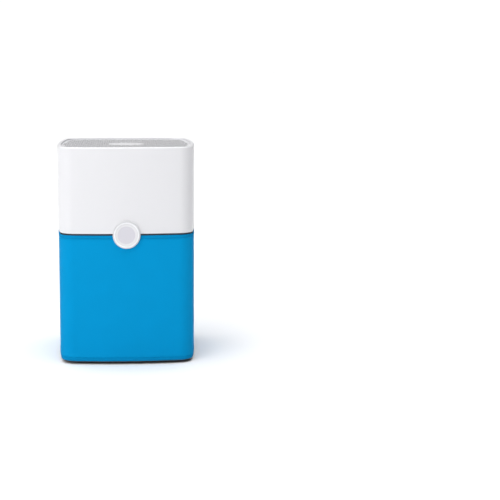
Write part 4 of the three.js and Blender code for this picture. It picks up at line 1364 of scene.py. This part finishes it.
def small_electrics():
    switch = extent("tact_switch")
    collar = rod_y(3.2, switch.y0, switch.y0 + 1.5, switch.x, switch.z, 0.2)
    well = rod_y(2.2, switch.y0 - 1, switch.y0 + 5.1, switch.x, switch.z)
    detail("tact_switch", filling(switch, 0.5), [collar], [well])
    for node in ("power_connector", "motor_connector"):
        box = extent(node)
        slots = [
            block(x - 0.9, x + 0.9, box.y1 - 1.2, box.y1 + 1, box.z - 2.6, box.z + 2.6, 0.2)
            for x in np.arange(box.x0 + 2.4, box.x1 - 2, 3.7)
        ]
        latch = block(box.x - 2.2, box.x + 2.2, box.y0 + 2, box.y1 - 2, box.z1 - 0.4, box.z1, 0.15)
        detail(node, filling(box, 0.5), holes=[*slots, latch])
    terminal = extent("terminal_block")
    wells, mouths = [], []
    for x in (20, 29, 38):
        wells.append(rod(2.8, terminal.z1 - 5, terminal.z1 + 1, 0, x=x, y=terminal.y, sides=40))
        back, low = terminal.y1, terminal.z0
        mouths.append(block(x - 2.3, x + 2.3, back - 4, back + 1, low + 3, low + 8, 0.3))
    detail("terminal_block", filling(terminal, 0.8), holes=[*wells, *mouths])
    can = extent("run_capacitor")
    r = can.y1 - can.y
    shell = turned([
        (0, can.z0), (r, can.z0, 1.2), (r, can.z1 - 9.6, 0.6), (r - 0.8, can.z1 - 9, 0.5),
        (r - 0.8, can.z1 - 8, 0.5), (r, can.z1 - 7.4, 0.6), (r, can.z1 - 6, 0.7),
        (r - 1.6, can.z1 - 6, 0.5), (r - 1.9, can.z1 - 6.8, 0.3), (0, can.z1 - 6.8),
    ], sides=96, x=can.x, y=can.y)
    tabs = [
        block(x - 0.4, x + 0.4, can.y - 3, can.y + 3, can.z1 - 7.5, can.z1, 0.25)
        for x in (can.x - 6, can.x + 6)
    ]
    detail("run_capacitor", merged(shell, *tabs))


def cord_inlet():
    gland = extent("cord_gland")
    root, seat, face, tip = 155, HALF + 0.3, 168, gland.y1
    shape = turned([
        (3.7, root, 0.4), (6.5, root, 0.5), (6.5, seat, 0.1), (9.5, seat, 0.3),
        (9.5, face, 0.6), (6.6, face + 0.4, 0.4), (5.5, tip, 0.6), (3.7, tip, 0.6),
    ], sides=72)
    detail("cord_gland", along_y(shape, 0, gland.z))
    nut = extent("gland_nut")
    bore = rod_y(7.0, nut.y0 - 1, nut.y1 + 1, 0, nut.z, sides=48)
    detail("gland_nut", along_y(hexagon(11, nut.y0, nut.y1), 0, nut.z), holes=[bore])


# ---------------------------------------------------------------- button and locks


def button():
    x, z = button_centre()
    box = extent("power_button")
    light = extent("button_light_ring")
    dish_r, face_r, flange_r = 20.5, 26.3, light.x1 - light.x
    back, flange, front = box.y0 + 1.6, box.y0 + 0.9, box.y0
    cap = turned([
        (0, front + 0.42), (12, front + 0.38), (dish_r, front + 0.3, 0.1), (21.4, front, 0.3),
        (face_r, front, 0.45), (face_r, flange, 0.1), (flange_r, flange, 0.1), (flange_r, back, 0.1),
        (0, back),
    ], sides=128, steps=4)
    made = to_object("button", along_y(cap, x, z))
    stem_end, pin_end = -156.7, -158.5
    stem = rod_y(3.5, back - 0.3, stem_end, x, STEM_Z, 0.4)
    pins = [rod_y(2.5, back - 0.3, pin_end, x + side, PIN_Z, 0.6, 32) for side in (-PIN_X, PIN_X)]
    joined(made, stem, *pins)
    joined(made, rod_y(1.9, stem_end - 0.5, box.y1, x, STEM_Z, 0.4, 32))
    two_toned(made.data, "button_face", lambda middle, normal: (
        math.hypot(middle.x - x, middle.z - z) < dish_r + 0.1 and middle.y < front + 0.6
    ))
    stands_for(made, "power_button")
    guide = tube(face_r + 0.3, flange_r, light.y0, light.y1, 0.42, sides=128, steps=4)
    detail("button_light_ring", along_y(guide, x, z))


def locks():
    box = extent("lock_right")
    knob = block(HALF - 4.2, HALF - 1.4, -14, 2, POCKET.z0 + 0.5, POCKET.z1 - 0.5, 0.9, 3)
    made = to_object("lock", knob)
    low, high = ARM_LOW - 2, ARM_HIGH + 2
    ribs = [block(HALF - 1.9, box.x1, y - 0.6, y + 0.6, low, high, 0.35) for y in (-11, -8, -5, -2)]
    joined(made, *ribs)
    joined(made, block(136, HALF - 3.7, -10, -2, ARM_LOW, ARM_HIGH, 0.5))  # the arm that reaches in
    joined(made, block(box.x0, box.x0 + 6, -9.99, -2.01, box.z0 + 1, ARM_HIGH - 0.1, 0.5))  # the leg down
    joined(made, block(box.x0, box.x0 + 6, -10, 10, box.z0, box.z0 + 3, 0.6))  # the foot that holds
    other = placed("lock", made.data.copy())
    other.data.transform(Matrix.Diagonal((-1, 1, 1, 1)))
    other.data.flip_normals()
    stands_for(made, "lock_right")
    stands_for(other, "lock_left")


# ---------------------------------------------------------------- the whole object

for build in (
    base_tray, rubber_feet, sleeve, bottom_frame, base_plate, top_frame, filter_net, pleated_media,
    filter_liner, housing_shell, top_grille, lower_deck, seal_gasket, inlet_guard, fan_shroud,
    motor_mount, motor_bells, stator, bearings, rotor, impeller, spinner_cap, screws,
    leads, control_board, small_electrics, cord_inlet, button, locks,
):
    build()

# ---------------------------------------------------------------- floor, light and camera


def floor():
    """A plain pale floor, which can be seen through from below so that the underside can be looked at."""
    mesh = bpy.data.meshes.new("floor")
    mesh.from_pydata([(x, y, 0) for x, y in four_corners(FLOOR_REACH)], [], [(0, 1, 2, 3)])
    paint = Finish("studio_floor", (0.86, 0.86, 0.87), 0.9)
    paint.set("Base Color", paint.mixed(paint.noise(400, 2), (0.85, 0.85, 0.86), (0.88, 0.88, 0.885)))
    either = paint.node("MixShader", {
        0: paint.node("NewGeometry").outputs["Backfacing"], 1: paint.shader.outputs["BSDF"],
        2: paint.node("BsdfTransparent").outputs["BSDF"],
    })
    paint.tree.links.new(either.outputs["Shader"], paint.tree.nodes["Material Output"].inputs["Surface"])
    mesh.materials.append(paint.material)
    placed("floor", mesh)


def lamp(name, kind, energy, place):
    light = bpy.data.lights.new(name, kind)
    light.energy = energy
    made = placed(name, light)
    made.location = place
    return made


def key_light():
    """A large softbox up on the left, in front of the object."""
    key = lamp("key", "AREA", KEY_WATTS, KEY_PLACE)
    key.data.size = KEY_SIZE
    key.rotation_euler = (Vector(KEY_TARGET) - Vector(KEY_PLACE)).to_track_quat("-Z", "Y").to_euler()


def overhead_light():
    """Even light from straight above, with the soft edge of a cloudy sky."""
    lamp("overhead", "SUN", OVERHEAD_STRENGTH, (0, 0, 3)).data.angle = math.radians(70)


def surroundings():
    """A white room, brighter on the left than on the right, which the camera sees as plain white."""
    world = bpy.data.worlds.new("studio")
    bpy.context.scene.world = world
    world.use_nodes = True
    tree = world.node_tree
    tree.nodes.clear()
    way = add_node(tree, "TexCoord").outputs["Generated"]
    across = add_node(tree, "MapRange", {
        "Value": add_node(tree, "SeparateXYZ", {0: way}).outputs["X"], "From Min": -0.9, "From Max": 0.9,
        "To Min": ROOM_LEFT, "To Max": ROOM_RIGHT,
    })
    white = (1, 1, 1, 1)
    soft = add_node(tree, "Background", {"Color": white, "Strength": across.outputs["Result"]})
    plain = add_node(tree, "Background", {"Color": white, "Strength": ROOM_SEEN})
    seen = add_node(tree, "LightPath").outputs["Is Camera Ray"]
    mix = add_node(tree, "MixShader", {0: seen, 1: soft.outputs[0], 2: plain.outputs[0]})
    add_node(tree, "OutputWorld", {"Surface": mix.outputs[0]})


FLOOR_REACH = 40  # metres from the middle
ROOM_LEFT, ROOM_RIGHT = 0.64, 0.09
ROOM_SEEN = 1.05  # how bright the room looks to the camera itself
KEY_PLACE, KEY_TARGET, KEY_SIZE, KEY_WATTS = (-1.0, -1.8, 1.5), (0, -0.165, 0.35), 1.4, 19
OVERHEAD_STRENGTH = 2.8
CAMERA_AWAY = 2.90  # metres in front of the front face
CAMERA_HEIGHT = 0.735
SENSOR_MM, LENS_MM = 36, 90.432
AIM = (0.2535, 0.5146)  # the middle of the front face, in shares of the frame from its top left
SHIFT = (0.12, -0.05)


def camera():
    """Straight in front of the object, which shows left of the middle: partly by shift, partly by turning."""
    data = bpy.data.cameras.new("camera")
    data.sensor_width, data.lens = SENSOR_MM, LENS_MM
    data.shift_x, data.shift_y = SHIFT
    eye = placed("camera", data)
    middle = Vector((0, -HALF * MM, (cad_box[0].z + cad_box[1].z) / 2))
    eye.location = (0, -HALF * MM - CAMERA_AWAY, CAMERA_HEIGHT)
    away = (middle - eye.location).normalized()
    right = (AIM[0] - 0.5 + SHIFT[0]) * SENSOR_MM / LENS_MM
    up = (0.5 - AIM[1] + SHIFT[1]) * SENSOR_MM / LENS_MM
    flat = math.hypot(away.x, away.y)
    yaw = 0.0
    for _ in range(12):
        pitch = math.atan2(away.z, flat * math.cos(yaw)) - math.atan(up)
        ahead = flat * math.cos(yaw) * math.cos(pitch) + away.z * math.sin(pitch)
        yaw = math.asin(right * ahead / flat)
    eye.rotation_euler = (math.pi / 2 + pitch, 0, yaw)
    bpy.context.scene.camera = eye


floor()
surroundings()
key_light()
overhead_light()
camera()
bpy.context.scene.view_settings.view_transform = "Standard"
bpy.context.scene.view_settings.look = "None"
